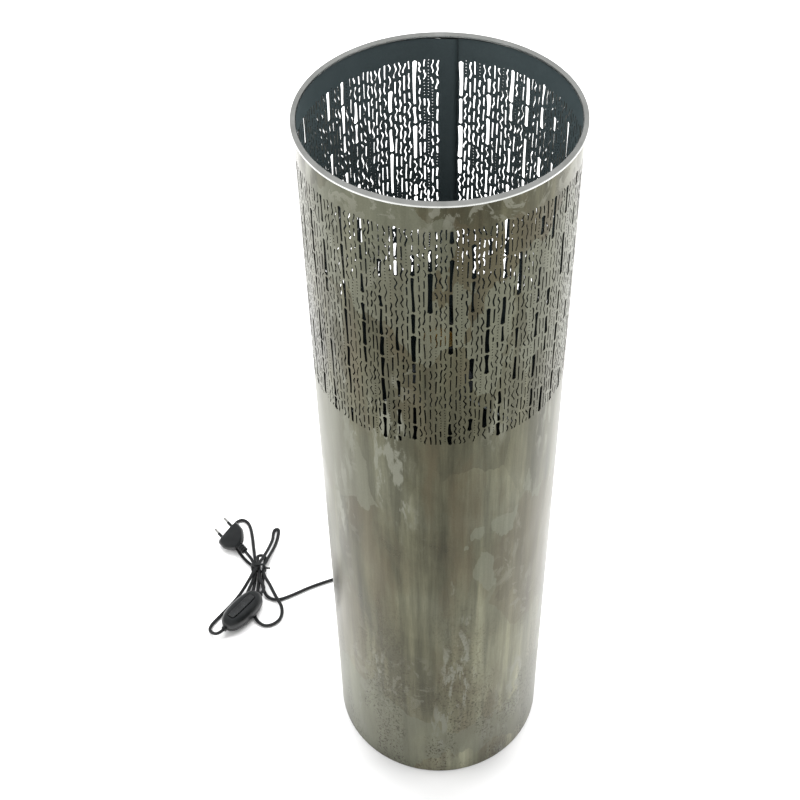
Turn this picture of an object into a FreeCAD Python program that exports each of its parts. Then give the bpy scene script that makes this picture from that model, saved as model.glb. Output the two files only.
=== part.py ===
import FreeCAD, Part
import math
import os

import Sketcher
from FreeCAD import Placement, Rotation, Vector

# Lantern floor lamp: a tall rolled-steel tube, perforated near its open top, with a
# bare lamp holder on a three-armed spider inside and its mains lead in a tied bundle.
# Millimetres, +Z up, origin at the centre of the base, on the floor.

# ---------------------------------------------------------------- driving sizes
SIZES = (
    # the rolled tube
    ("tube_diameter", 225, "outside of the rolled sheet"),
    ("lamp_height", 802, "floor to the top of the bead"),
    ("sheet_wall", 1, "steel sheet"),
    ("foot_lift", 1, "the tube's lower edge clears the floor by this"),
    ("lap_angle", 82, "azimuth of the inner edge of the lap seam"),
    ("lap_width", 15, "overlap of the two edges, along the sheet"),
    ("joggle_width", 13, "length over which the sheet steps inwards"),
    ("bead_diameter", 5, "polished wire bead round the mouth"),
    ("bead_sides", 8, "flats that stand for the bead's round, in fours"),
    ("bead_groove", 2.2, "depth of the slit that takes the sheet's edge"),
    ("bead_gap", 0.5, "butt joint of the bead"),
    # the cut-outs
    ("band_low", 545, "lower edge of the perforated band"),
    ("band_height", 234, "height of the perforated band"),
    ("cell_count", 12, "repeats of the pattern round the tube"),
    ("column_count", 3, "columns of cut-outs in one repeat"),
    ("seam_margin", 2, "plain sheet each side of the lap"),
    ("fine_slot", 3.2, "width of a stepped or fine slot"),
    ("bold_slot", 5, "width of a bold slot"),
    ("slot_bridge", 7, "steel left between two cut-outs of a column"),
    # the bottom
    ("plate_height", 3, "floor to the underside of the base plate"),
    ("plate_wall", 3, "base plate"),
    ("pad_diameter", 18, "felt foot"),
    ("pad_circle", 160, "circle the feet stand on"),
    ("pad_count", 4, "feet"),
    ("weld_gap", 0.1, "between two welded, brazed or pressed faces"),
    # the spider
    ("spider_height", 506, "floor to the middle of the wire arms"),
    ("arm_wire", 3, "diameter of an arm"),
    ("arm_angle", 84.2, "azimuth of the first arm"),
    ("arm_count", 3, "arms"),
    ("arm_leg", 14, "end of an arm, bent down against the tube"),
    ("arm_bend", 6, "bend radius of an arm"),
    ("arm_inset", 22, "inner end of an arm, from the axis"),
    ("hub_diameter", 64, "disc that carries the lamp holder"),
    ("hub_wall", 1.5, "hub disc"),
    # the lamp holder
    ("nipple_diameter", 10, "threaded tube"),
    ("nipple_wall", 1, "threaded tube"),
    ("nipple_above", 12, "threaded tube above the hub"),
    ("nipple_below", 6.5, "threaded tube below the hub"),
    ("nut_flats", 14, "locknut across flats"),
    ("nut_thickness", 3, "locknut"),
    ("cap_diameter", 39, "lower cap of the holder"),
    ("cap_height", 20, "lower cap"),
    ("cap_neck", 24, "neck of the cap, on the hub"),
    ("cap_step", 4, "height of the cap's neck"),
    ("cap_floor", 7, "threaded floor of the cap"),
    ("holder_wall", 2, "plastic wall of cap and mantle"),
    ("mantle_diameter", 40.5, "upper sleeve of the holder"),
    ("mantle_height", 38, "upper sleeve"),
    ("ledge_height", 2, "ledge in the mantle that carries the block"),
    ("ledge_bore", 24, "opening in that ledge"),
    ("block_height", 8, "contact block"),
    ("socket_bore", 26.8, "inside of the screw shell"),
    ("shell_wall", 1, "depth of the screw shell's rolled thread"),
    ("shell_height", 24, "screw shell"),
    ("contact_width", 6, "centre contact"),
    ("contact_rise", 3, "centre contact above its seat"),
    ("contact_wall", 0.4, "sheet of the centre contact"),
    ("contact_recess", 3.6, "well in the block that holds the contact"),
    ("play", 0.3, "clearance between loose pieces"),
    # the lead
    ("cord_diameter", 3.8, "round of the same section as the flat twin flex"),
    ("cord_sides", 6, "flat sides that stand for the lead's round"),
    ("cord_clearance", 0.1, "round the cord where it is held"),
    ("exit_angle", 104, "azimuth where the lead leaves the tube"),
    ("exit_height", 12, "floor to the middle of the lead there"),
    ("grommet_diameter", 11, "flange of the bushing"),
    ("grommet_neck", 8, "neck of the bushing in the sheet"),
    ("grommet_head", 3, "bushing outside the tube"),
    ("grommet_tail", 2.2, "bushing inside the tube"),
    ("clamp_radius", 62, "cord clamp, from the axis"),
    ("clamp_length", 27, "cord clamp, across the cord"),
    ("clamp_depth", 10, "cord clamp, along the cord"),
    ("clamp_ear", 3.5, "thickness of the clamp's ears"),
    ("clamp_wall", 2, "clamp over the cord"),
    ("clamp_pitch", 19, "between the clamp's screws"),
    ("screw_diameter", 3, "clamp screw"),
    ("screw_flats", 5.5, "hexagon head across flats"),
    ("screw_head", 2, "hexagon head"),
    ("tie_width", 3, "twist tie, along the bundle"),
    ("tie_wall", 0.8, "twist tie"),
    # the foot switch
    ("switch_length", 62, "oval housing"),
    ("switch_width", 31, "oval housing"),
    ("switch_end_radius", 12, "round ends of the oval"),
    ("switch_lift", 4.2, "the housing lies on a strand of the cord"),
    ("switch_base_height", 5.4, "lower shell, up to the cord's middle"),
    ("switch_cover_height", 11, "upper shell"),
    ("switch_bevel", 4.5, "sloped edge of the upper shell"),
    ("switch_floor", 2, "lower shell's floor"),
    ("switch_roof", 2.5, "upper shell's roof"),
    ("collar_length", 3, "cord collar at each end"),
    ("collar_diameter", 7.4, "cord collar"),
    ("button_length", 40, "push button"),
    ("button_width", 10, "push button"),
    ("button_rise", 1.2, "button above the housing"),
    ("button_flange", 1.5, "rim that keeps the button in"),
    ("button_rim", 1.6, "how far that rim stands out"),
    # the plug
    ("plug_width", 35.3, "flat two-pin plug"),
    ("plug_thickness", 12, "flat two-pin plug"),
    ("plug_length", 26, "plug body"),
    ("plug_shoulder", 19, "width of the body at its rear"),
    ("plug_bevel", 4.5, "sloped edges of the body"),
    ("neck_length", 13, "ribbed neck"),
    ("neck_width", 9, "ribbed neck"),
    ("neck_thickness", 7, "ribbed neck"),
    ("neck_notch", 1.5, "depth of the neck's notches"),
    ("pin_spacing", 18.6, "between the pins"),
    ("pin_diameter", 4, "pin"),
    ("pin_length", 19, "pin"),
    ("pin_root", 8, "pin inside the body"),
    ("sleeve_length", 10, "insulated part of a pin"),
    ("sleeve_wall", 0.5, "insulation of a pin"),
)

# Route of the lead: the points it bends round, chosen from the photograph's view.
# Heights: lying on the floor, and the three layers of the tied bundle.
FLOOR = 2.0
LOW = 3.8
MID = 8.2
TOP = 12.7
LAMP_ROUTE = (
    (-49, 156, 6), (-74, 168, FLOOR), (-104, 162, FLOOR), (-133, 151, FLOOR),
    (-160, 139.5, FLOOR), (-183, 126, FLOOR), (-199.5, 118.5, FLOOR),
    (-211, 121.5, FLOOR), (-217.5, 130, FLOOR), (-220.9, 141, FLOOR),
    (-221.2, 153, 2.4), (-221.2, 165, LOW), (-220.8, 175, LOW), (-220.5, 185.2, 4.8),
    (-230.3, 185.2, 6.8), (-229.8, 174.5, MID), (-226, 165, MID), (-226.2, 150, MID),
    (-220.5, 139.5, 9.2),
)
PLUG_ROUTE = (
    (-274.5, 65.4, 5.6), (-281.5, 76.5, 2.4), (-267, 97, FLOOR), (-249.5, 121, 3.4),
    (-238.5, 141, 9), (-231, 158, TOP), (-225, 171, TOP), (-218.5, 190, 9),
    (-213.5, 211, 5.4), (-216.4, 221.5, 3), (-213.9, 230.8, FLOOR),
    (-205.9, 230.3, FLOOR), (-205.4, 219.5, FLOOR), (-209, 207, 3), (-212.5, 193, 5.5),
    (-217.3, 177.5, 8.8), (-221.4, 165.5, MID), (-220.5, 154, 7.6),
    (-211.5, 140, 7.2), (-201.5, 119.5, 6.8), (-192, 106, 3.6), (-194, 88, FLOOR),
    (-210.5, 78.5, FLOOR), (-223.5, 87, FLOOR), (-228, 101, FLOOR),
    (-226.2, 125, FLOOR), (-225.9, 150, 2.4), (-226.4, 164, LOW), (-233.2, 178, 2.6),
    (-237, 197, FLOOR), (-241, 220, FLOOR), (-247, 241, FLOOR), (-258, 248, FLOOR),
    (-267.5, 239, FLOOR), (-267, 219, FLOOR), (-259.5, 199, FLOOR), (-247.5, 181, 2.6),
    (-232.4, 167, LOW), (-230.7, 150, 2.4), (-232, 128, FLOOR), (-232.4, 106, FLOOR),
    (-241.8, 106, FLOOR), (-241.8, 118, FLOOR), (-236, 136, 5), (-231, 152, 7.6),
    (-231.2, 164.5, MID), (-235, 172, 10.8),
)
LAMP_RUN = 24
SWITCH_RUN = 7
PLUG_RUN = 9
SWITCH_CENTRE = (-241, 96.5)
SWITCH_ANGLE = 53
PLUG_ENTRY = (-246.5, 186.6, 12.9)
PLUG_ANGLE = 130
PLUG_ROLL = -33
TIE_CENTRE = (-227.2, 164, 8)
TIE_OPENING = (17.4, 14)
TIE_CORNER = 3
TIE_TAIL = 5.5

doc = FreeCAD.newDocument("lantern_floor_lamp")


# ---------------------------------------------------------------- sheet and sizes
class Size(float):
    """A number that remembers the sheet formula it comes from."""

    def __new__(cls, value, formula):
        number = float.__new__(cls, value)
        number.formula = formula
        return number

    def __add__(self, other):
        return Size(float(self) + float(other), f"({self.formula} + {formula_of(other)})")

    def __radd__(self, other):
        return Size(float(other) + float(self), f"({formula_of(other)} + {self.formula})")

    def __sub__(self, other):
        return Size(float(self) - float(other), f"({self.formula} - {formula_of(other)})")

    def __rsub__(self, other):
        return Size(float(other) - float(self), f"({formula_of(other)} - {self.formula})")

    def __mul__(self, other):
        return Size(float(self) * float(other), f"({self.formula} * {formula_of(other)})")

    __rmul__ = __mul__

    def __truediv__(self, other):
        return Size(float(self) / float(other), f"({self.formula} / {formula_of(other)})")

    def __neg__(self):
        return Size(-float(self), f"(-1 * {self.formula})")


def formula_of(value):
    """Sheet formula of a Size, or a plain number as text."""
    if isinstance(value, Size):
        return value.formula
    return f"{float(value):.6f}"


def fill_sheet():
    """Write every driving size into the sheet, with its name as the alias."""
    cells = doc.addObject("Spreadsheet::Sheet", "sizes")
    for row, (name, value, note) in enumerate(SIZES, start=1):
        cells.set(f"A{row}", name)
        cells.set(f"B{row}", str(value))
        cells.set(f"C{row}", note)
        cells.setAlias(f"B{row}", name)
    doc.recompute()
    return cells


def size(name):
    """A driving size, with its formula."""
    return Size(float(sheet.get(name)), f"sizes.{name}")


def bind(item, prop, value):
    """Give a property its value and tie it to the sheet."""
    setattr(item, prop, float(value))
    if isinstance(value, Size):
        item.setExpression(prop, value.formula)


# ---------------------------------------------------------------- building helpers
def origin_feature(body, role):
    for feature in body.Origin.OriginFeatures:
        if feature.Role == role:
            return feature
    raise ValueError(role)


def new_body(label):
    body = doc.addObject("PartDesign::Body", label)
    body.Label = label
    return body


def new_sketch(body, name, role="XY_Plane", offset=None, height=None):
    """An empty sketch on one of the body's own origin planes."""
    sketch = body.newObject("Sketcher::SketchObject", name)
    sketch.AttachmentSupport = (origin_feature(body, role), [""])
    sketch.MapMode = "FlatFace"
    if offset is not None:
        sketch.AttachmentOffset = offset
    if height is not None:
        sketch.AttachmentOffset = Placement(Vector(0, 0, float(height)), Rotation())
        if isinstance(height, Size):
            sketch.setExpression(".AttachmentOffset.Base.z", height.formula)
    return sketch


def hold(sketch, place, point):
    """Hold one end or centre at its distances from the sketch's origin."""
    for axis, kind, value in ((-2, "DistanceX", point[0]), (-1, "DistanceY", point[1])):
        if abs(value) < 1e-9:
            sketch.addConstraint(Sketcher.Constraint("PointOnObject", *place, axis))
            continue
        held = sketch.addConstraint(
            Sketcher.Constraint(kind, -1, 1, *place, float(value)))
        if isinstance(value, Size):
            sketch.setExpression(f"Constraints[{held}]", value.formula)


def flat(point):
    return Vector(float(point[0]), float(point[1]), 0)


def draw_outline(sketch, outline, held=True):
    """Closed outline. A corner is (x, y); (x, y, (mx, my)) is reached by an arc."""
    places = []
    for here, there in zip(outline, outline[1:] + outline[:1]):
        start = flat(here)
        end = flat(there)
        forward = True
        geometry = Part.LineSegment(start, end)
        if len(there) == 3:
            middle = flat(there[2])
            forward = (middle - start).cross(end - middle).z > 0
            ends = (start, end) if forward else (end, start)
            geometry = Part.Arc(ends[0], middle, ends[1])
        number = sketch.addGeometry(geometry, False)
        places.append(((number, 1), (number, 2)) if forward else ((number, 2), (number, 1)))
    if not held:
        return
    for index, corner in enumerate(outline):
        sketch.addConstraint(Sketcher.Constraint(
            "Coincident", *places[index - 1][1], *places[index][0]))
        hold(sketch, places[index][0], corner)


def draw_circle(sketch, x, y, radius):
    """A circle held at its centre, whose radius follows its formula."""
    number = sketch.addGeometry(
        Part.Circle(flat((x, y)), Vector(0, 0, 1), float(radius)), False)
    hold(sketch, (number, 3), (x, y))
    held = sketch.addConstraint(Sketcher.Constraint("Radius", number, float(radius)))
    if isinstance(radius, Size):
        sketch.setExpression(f"Constraints[{held}]", radius.formula)


def pad(body, sketch, length):
    feature = body.newObject("PartDesign::Pad", sketch.Name + "_pad")
    feature.Profile = sketch
    bind(feature, "Length", length)
    return feature


def pocket(body, sketch, length, forward=False):
    """Cut against the sketch's normal, or along it when forward."""
    feature = body.newObject("PartDesign::Pocket", sketch.Name + "_cut")
    feature.Profile = sketch
    feature.Reversed = forward
    bind(feature, "Length", length)
    return feature


def turned(label, outline):
    """A body turned round the Z axis from a half section (radius, height)."""
    body = new_body(label)
    sketch = new_sketch(body, label + "_section", "XZ_Plane")
    draw_outline(sketch, outline)
    feature = body.newObject("PartDesign::Revolution", label + "_turn")
    feature.Profile = sketch
    feature.ReferenceAxis = (sketch, ["V_Axis"])
    feature.Angle = 360
    return body


def bevel_edges(body, base, amount, wanted, name):
    """Chamfer the edges of the base feature that the test picks."""
    doc.recompute()
    names = []
    for number, edge in enumerate(base.Shape.Edges, start=1):
        if wanted(edge.BoundBox):
            names.append(f"Edge{number}")
    feature = body.newObject("PartDesign::Chamfer", name)
    feature.Base = (base, names)
    bind(feature, "Size", amount)
    return feature


def level(height):
    """Test for edges that lie wholly at one height."""
    def test(box):
        return abs(box.ZMin - height) < 1e-4 and abs(box.ZMax - height) < 1e-4
    return test


def group(label, members):
    """Several separate solids that share one node."""
    compound = doc.addObject("Part::Compound", label)
    compound.Label = label
    compound.Links = members
    return compound


def cylinder(label, diameter, height, place):
    item = doc.addObject("Part::Cylinder", label)
    bind(item, "Radius", diameter / 2)
    bind(item, "Height", height)
    item.Placement = place
    return item


def polar(radius, angle):
    turn = math.radians(float(angle))
    return (float(radius) * math.cos(turn), float(radius) * math.sin(turn))


def about_axis(radius, angle, height):
    """Point at a radius and azimuth (degrees) round the lamp's axis."""
    return Vector(*polar(radius, angle), float(height))


def many_sided(across, sides):
    """Regular polygon, given its width over opposite corners."""
    step = 360 / sides
    return tuple(polar(across / 2, step * (index + 0.5)) for index in range(sides))


def hexagon(flats):
    """Hexagon, given its width across flats."""
    return many_sided(float(flats) * 2 / math.sqrt(3), 6)


def oval(length, width, end_radius):
    """Oval of four tangent arcs."""
    reach = float(length) / 2 - float(end_radius)
    spare = float(width) / 2 - float(end_radius)
    drop = (reach ** 2 - spare ** 2) / (2 * spare)
    slope = math.hypot(reach, drop)
    tip_x = reach + float(end_radius) * reach / slope
    tip_y = float(end_radius) * drop / slope
    half = float(length) / 2
    side = float(width) / 2
    return (
        (tip_x, -tip_y, (0, -side)),
        (tip_x, tip_y, (half, 0)),
        (-tip_x, tip_y, (0, side)),
        (-tip_x, -tip_y, (-half, 0)),
    )


def long_hole(length, width):
    """Slot with round ends along X."""
    half = length / 2 - width / 2
    side = width / 2
    tip = float(length / 2)
    return (
        (half, -side),
        (half, side, (tip, 0)),
        (-half, side),
        (-half, -side, (-tip, 0)),
    )


sheet = fill_sheet()
tube_radius = size("tube_diameter") / 2
wall = size("sheet_wall")
inner_radius = tube_radius - wall
play = size("play")
weld_gap = size("weld_gap")
foot_lift = size("foot_lift")
sheet_top = size("lamp_height") - size("bead_diameter") + size("bead_groove")
cord_bore = size("cord_diameter") / 2 + size("cord_clearance")
LAP_DEGREES = math.degrees(float(size("lap_width")) / float(tube_radius))
JOGGLE_DEGREES = math.degrees(float(size("joggle_width")) / float(tube_radius))
LAP_START = float(size("lap_angle"))
LAP_END = LAP_START + LAP_DEGREES
JOGGLE_END = LAP_END + JOGGLE_DEGREES


# ---------------------------------------------------------------- tube
def ring_sector(inner, outer, start, end):
    """Outline of a piece of a ring, between two azimuths."""
    middle = (start + end) / 2
    return (
        polar(inner, start),
        (*polar(inner, end), polar(inner, middle)),
        polar(outer, end),
        (*polar(outer, start), polar(outer, middle)),
    )


def make_tube_sheet():
    """Rolled sheet with its lap seam stepped inwards and the lead's hole."""
    body = new_body("tube_sheet")
    ring = new_sketch(body, "sheet_ring", height=foot_lift)
    draw_circle(ring, 0, 0, tube_radius)
    draw_circle(ring, 0, 0, inner_radius)
    pad(body, ring, sheet_top - foot_lift)
    add_lap(body)
    cut_lead_hole(body)
    return body


def add_lap(body):
    """The inner edge lies behind the outer one, and the sheet steps back out."""
    deep = inner_radius - wall
    bite = inner_radius + wall / 2
    tail = new_sketch(body, "lap_tail", height=foot_lift)
    draw_outline(tail, (
        polar(deep, LAP_START),
        (*polar(deep, LAP_END), polar(deep, (LAP_START + LAP_END) / 2)),
        polar(inner_radius, JOGGLE_END),
        polar(bite, JOGGLE_END),
        (*polar(bite, LAP_START), polar(bite, (LAP_START + JOGGLE_END) / 2)),
    ), held=False)
    pad(body, tail, sheet_top - foot_lift)
    step = new_sketch(body, "lap_step")
    draw_outline(step, (
        polar(inner_radius, LAP_END),
        polar(tube_radius + wall, LAP_END),
        polar(tube_radius + wall, JOGGLE_END),
        polar(tube_radius, JOGGLE_END),
    ), held=False)
    pocket(body, step, size("lamp_height"), forward=True)
    relief = new_sketch(body, "bead_relief", height=sheet_top)
    draw_outline(relief, ring_sector(
        deep - wall, tube_radius + wall, LAP_START - 1, JOGGLE_END + 1), held=False)
    pocket(body, relief, size("bead_groove") + play)


def cut_lead_hole(body):
    """Round hole for the bushing, low at the back."""
    turn = Rotation(Vector(0, 1, 0), float(size("exit_angle")) - 270)
    hole = new_sketch(body, "lead_hole", "XZ_Plane", Placement(Vector(), turn))
    draw_circle(hole, 0, size("exit_height"), size("grommet_neck") / 2 + weld_gap)
    pocket(body, hole, size("tube_diameter"), forward=True)


def stepped_slot(middle, low, high, width, side):
    """Slot whose upper half stands to one side of its lower half."""
    half = float(width) / 2
    step = half * 0.6 * side
    centre = (low + high) / 2
    right = ((middle - step + half, low), (middle - step + half, centre),
             (middle + step + half, centre), (middle + step + half, high))
    left = ((middle + step - half, high), (middle + step - half, centre),
            (middle - step - half, centre), (middle - step - half, low))
    return right + left


def straight_slot(middle, low, high, width):
    """Plain straight slot."""
    half = float(width) / 2
    return ((middle + half, low), (middle + half, high),
            (middle - half, high), (middle - half, low))


def make_cell_cutters():
    """The cutters of one repeat of the pattern, just before the first plain seam."""
    columns = int(size("column_count"))
    cell_angle = cell_width()
    margin = math.degrees(float(size("seam_margin")) / float(tube_radius))
    start = float(inner_radius) * math.cos(math.radians(cell_angle / 2)) - 3 * float(wall)
    turn = Rotation(Vector(0, 1, 0), LAP_START - margin - cell_angle / 2 - 270)
    body = new_body("cut_out_cell")
    sketch = new_sketch(body, "cut_outs", "XZ_Plane", Placement(
        turn.multVec(Vector(0, 0, start)), turn))
    low = float(size("band_low"))
    bridge = float(size("slot_bridge"))
    height = float(size("band_height")) + bridge
    pitch = math.radians(cell_angle) * float(tube_radius) / columns
    shares = (0.38, 0.27, 0.35)
    for column in range(columns):
        middle = (column - (columns - 1) / 2) * pitch
        foot = low
        for row in range(len(shares)):
            head = foot + shares[(row + column) % len(shares)] * height
            kind = (column + 2 * row) % 4
            if kind == 0:
                outline = straight_slot(middle, foot, head - bridge, size("bold_slot"))
            elif kind == 2:
                outline = straight_slot(middle, foot, head - bridge, size("fine_slot"))
            else:
                outline = stepped_slot(
                    middle, foot, head - bridge, size("fine_slot"), kind - 2)
            draw_outline(sketch, outline, held=False)
            foot = head
    pad(body, sketch, tube_radius + wall - start)
    doc.recompute()
    return body


def cell_width():
    """Angle of one repeat: the seam stays plain, the rest is shared evenly."""
    margin = math.degrees(float(size("seam_margin")) / float(tube_radius))
    plain = LAP_DEGREES + JOGGLE_DEGREES + 2 * margin
    return (360 - plain) / int(size("cell_count"))


def make_tube_shell():
    """Rolled sheet, cut through by every repeat of the pattern at once."""
    sheet_body = make_tube_sheet()
    cell = make_cell_cutters()
    copies = []
    for index in range(int(size("cell_count"))):
        copy = cell.Shape.copy()
        copy.rotate(Vector(), Vector(0, 0, 1), -cell_width() * index)
        copies += copy.Solids
    cutters = doc.addObject("Part::Feature", "cut_out_repeats")
    cutters.Shape = Part.makeCompound(copies)
    shell = doc.addObject("Part::Cut", "tube_shell")
    shell.Label = "tube_shell"
    shell.Base = sheet_body
    shell.Tool = cutters
    shell.Refine = False
    return shell


def make_rim_bead():
    """Bead round the mouth, with a slit below that takes the sheet's upper edge."""
    body = new_body("rim_bead")
    middle = tube_radius - wall / 2
    centre = size("lamp_height") - size("bead_diameter") / 2
    slit = wall / 2 + weld_gap
    top = sheet_top + weld_gap
    sides = int(size("bead_sides"))
    corners = many_sided(size("bead_diameter"), sides)
    lowest = sides * 3 // 4
    round_part = [
        (middle + across, centre + up)
        for across, up in corners[lowest:] + corners[:lowest]
    ]
    mouth = float(centre) + corners[lowest][1]
    section = new_sketch(body, "bead_section", "XZ_Plane")
    draw_outline(section, (
        (middle - slit, mouth),
        (middle - slit, top),
        (middle + slit, top),
        (middle + slit, mouth),
        *round_part,
    ))
    feature = body.newObject("PartDesign::Revolution", "bead_turn")
    feature.Profile = section
    feature.ReferenceAxis = (section, ["V_Axis"])
    feature.Angle = 360 - math.degrees(float(size("bead_gap")) / float(tube_radius))
    body.Placement = Placement(Vector(), Rotation(Vector(0, 0, 1), LAP_START))
    return body


def make_base_plate():
    """Disc welded into the foot of the tube, notched at the lap."""
    body = new_body("base_plate")
    disc = new_sketch(body, "plate_disc", height=size("plate_height"))
    draw_circle(disc, 0, 0, inner_radius - weld_gap)
    for side in (-1, 1):
        centre = clamp_point(side * float(size("clamp_pitch")) / 2)
        draw_circle(disc, centre.x, centre.y, size("screw_diameter") / 2 + weld_gap)
    pad(body, disc, size("plate_wall"))
    notch = new_sketch(body, "plate_notch")
    draw_outline(notch, ring_sector(
        inner_radius - wall - play, tube_radius, LAP_START - 1, JOGGLE_END), held=False)
    pocket(body, notch, size("lamp_height"), forward=True)
    return body


def make_foot_pads():
    """Felt feet between the base plate and the floor."""
    pads = []
    count = int(size("pad_count"))
    for index in range(count):
        point = about_axis(size("pad_circle") / 2, 45 + index * 360 / count, 0)
        pads.append(cylinder(f"foot_pad_{index}", size("pad_diameter"),
                             size("plate_height"), Placement(point, Rotation())))
    return group("foot_pads", pads)


# ---------------------------------------------------------------- spider and holder
hub_bottom = size("spider_height") + size("arm_wire") / 2 + weld_gap
hub_top = hub_bottom + size("hub_wall")
cap_top = hub_top + size("cap_height")
block_bottom = cap_top + size("ledge_height")
block_top = block_bottom + size("block_height")
recess_floor = block_top - size("contact_recess")
nipple_radius = size("nipple_diameter") / 2


def make_spider_hub():
    body = new_body("spider_hub")
    disc = new_sketch(body, "hub_disc", height=hub_bottom)
    draw_circle(disc, 0, 0, size("hub_diameter") / 2)
    draw_circle(disc, 0, 0, nipple_radius + weld_gap)
    pad(body, disc, size("hub_wall"))
    return body


def make_arm(index, angle, reach):
    """Wire from the hub to the tube, its end bent down along the wall."""
    body = new_body(f"arm_{index}")
    height = size("spider_height")
    bend = size("arm_bend")
    inset = size("arm_inset")
    lean = float(bend) * math.sqrt(0.5)
    start = new_sketch(body, f"arm_{index}_wire", "YZ_Plane", height=inset)
    draw_outline(start, tuple(
        (x, y + float(height)) for x, y in many_sided(size("arm_wire"), 8)), held=False)
    path = new_sketch(body, f"arm_{index}_path", "XZ_Plane")
    middle = (float(reach - bend) + lean, float(height - bend) + lean)
    corners = (
        (inset, height),
        (reach - bend, height),
        (reach, height - bend),
        (reach, height - size("arm_leg")),
    )
    path.addGeometry(Part.LineSegment(flat(corners[0]), flat(corners[1])), False)
    path.addGeometry(Part.Arc(flat(corners[1]), flat(middle), flat(corners[2])), False)
    path.addGeometry(Part.LineSegment(flat(corners[2]), flat(corners[3])), False)
    pipe = body.newObject("PartDesign::AdditivePipe", f"arm_{index}_pipe")
    pipe.Profile = start
    pipe.Spine = (path, ["Edge1", "Edge2", "Edge3"])
    body.Placement = Placement(Vector(), Rotation(Vector(0, 0, 1), angle))
    return body


def make_spider_arms():
    """Three wires; the one that meets the lap is shorter by the sheet."""
    arms = []
    count = int(size("arm_count"))
    for index in range(count):
        angle = float(size("arm_angle")) + index * 360 / count
        reach = inner_radius - size("arm_wire") / 2 - weld_gap
        if LAP_START - 1 < angle < JOGGLE_END + 1:
            reach = reach - wall
        arms.append(make_arm(index, angle, reach))
    return group("spider_arms", arms)


def make_nipple():
    bore = nipple_radius - size("nipple_wall")
    return turned("holder_nipple", (
        (bore, hub_bottom - size("nipple_below")),
        (nipple_radius, hub_bottom - size("nipple_below")),
        (nipple_radius, hub_top + size("nipple_above")),
        (bore, hub_top + size("nipple_above")),
    ))


def make_nut():
    body = new_body("holder_nut")
    sketch = new_sketch(body, "nut_section", height=hub_bottom - size("nut_thickness"))
    draw_outline(sketch, hexagon(size("nut_flats")), held=False)
    draw_circle(sketch, 0, 0, nipple_radius + weld_gap)
    pad(body, sketch, size("nut_thickness"))
    return body


def make_cap():
    """Lower cap of the holder, screwed on the threaded tube."""
    bore = nipple_radius + weld_gap
    outside = size("cap_diameter") / 2
    inside = outside - size("holder_wall")
    return turned("holder_cap", (
        (bore, hub_top),
        (size("cap_neck") / 2, hub_top),
        (size("cap_neck") / 2, hub_top + size("cap_step")),
        (outside, hub_top + size("cap_step")),
        (outside, cap_top),
        (inside, cap_top),
        (inside, hub_top + size("cap_floor")),
        (bore, hub_top + size("cap_floor")),
    ))


def make_mantle():
    """Upper sleeve of the holder, with the ledge that carries the block."""
    outside = size("mantle_diameter") / 2
    inside = outside - size("holder_wall")
    return turned("holder_mantle", (
        (size("ledge_bore") / 2, cap_top),
        (outside, cap_top),
        (outside, cap_top + size("mantle_height")),
        (inside, cap_top + size("mantle_height")),
        (inside, block_bottom),
        (size("ledge_bore") / 2, block_bottom),
    ))


def make_block():
    """Contact block on the mantle's ledge."""
    body = new_body("contact_block")
    disc = new_sketch(body, "block_disc", height=block_bottom)
    draw_circle(disc, 0, 0, size("mantle_diameter") / 2 - size("holder_wall") - play)
    pad(body, disc, size("block_height"))
    well = new_sketch(body, "block_well", height=recess_floor)
    draw_circle(well, 0, 0, size("socket_bore") / 2 + size("shell_wall") / 2)
    pocket(body, well, size("contact_recess"), forward=True)
    return body


def make_screw_shell():
    """Screw shell of the holder; its thread is left plain."""
    bore = size("socket_bore") / 2
    return turned("screw_shell", (
        (bore, block_top),
        (bore + size("shell_wall"), block_top),
        (bore + size("shell_wall"), block_top + size("shell_height")),
        (bore, block_top + size("shell_height")),
    ))


def make_contact():
    """Sprung tongue in the middle of the block."""
    body = new_body("centre_contact")
    thick = size("contact_wall")
    half = size("contact_width") / 2
    rise = size("contact_rise")
    sketch = new_sketch(body, "contact_side", "XZ_Plane", height=-half)
    draw_outline(sketch, (
        (-half - 2, recess_floor),
        (0, recess_floor),
        (half, recess_floor + rise - thick),
        (half + 2, recess_floor + rise - thick),
        (half + 2, recess_floor + rise),
        (half, recess_floor + rise),
        (0, recess_floor + thick),
        (-half - 2, recess_floor + thick),
    ))
    pad(body, sketch, size("contact_width"))
    return body


# ---------------------------------------------------------------- cord fittings
def clamp_point(across, height=0.0):
    """Point on the cord clamp, a distance to the side of the cord."""
    turn = float(size("exit_angle"))
    middle = about_axis(size("clamp_radius"), turn, height)
    return middle + Vector(*polar(across, turn + 90), 0)


def make_grommet():
    """Bushing where the lead leaves the tube."""
    neck = size("grommet_neck") / 2
    body = turned("cord_grommet", (
        (cord_bore, -(wall + size("grommet_tail"))),
        (neck, -(wall + size("grommet_tail"))),
        (neck, weld_gap),
        (size("grommet_diameter") / 2, weld_gap),
        (size("grommet_diameter") / 2, size("grommet_head")),
        (cord_bore, size("grommet_head")),
    ))
    angle = float(size("exit_angle"))
    outward = Rotation(Vector(0, 0, 1), Vector(*polar(1, angle), 0))
    body.Placement = Placement(
        about_axis(tube_radius, angle, size("exit_height")), outward)
    return body


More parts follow.
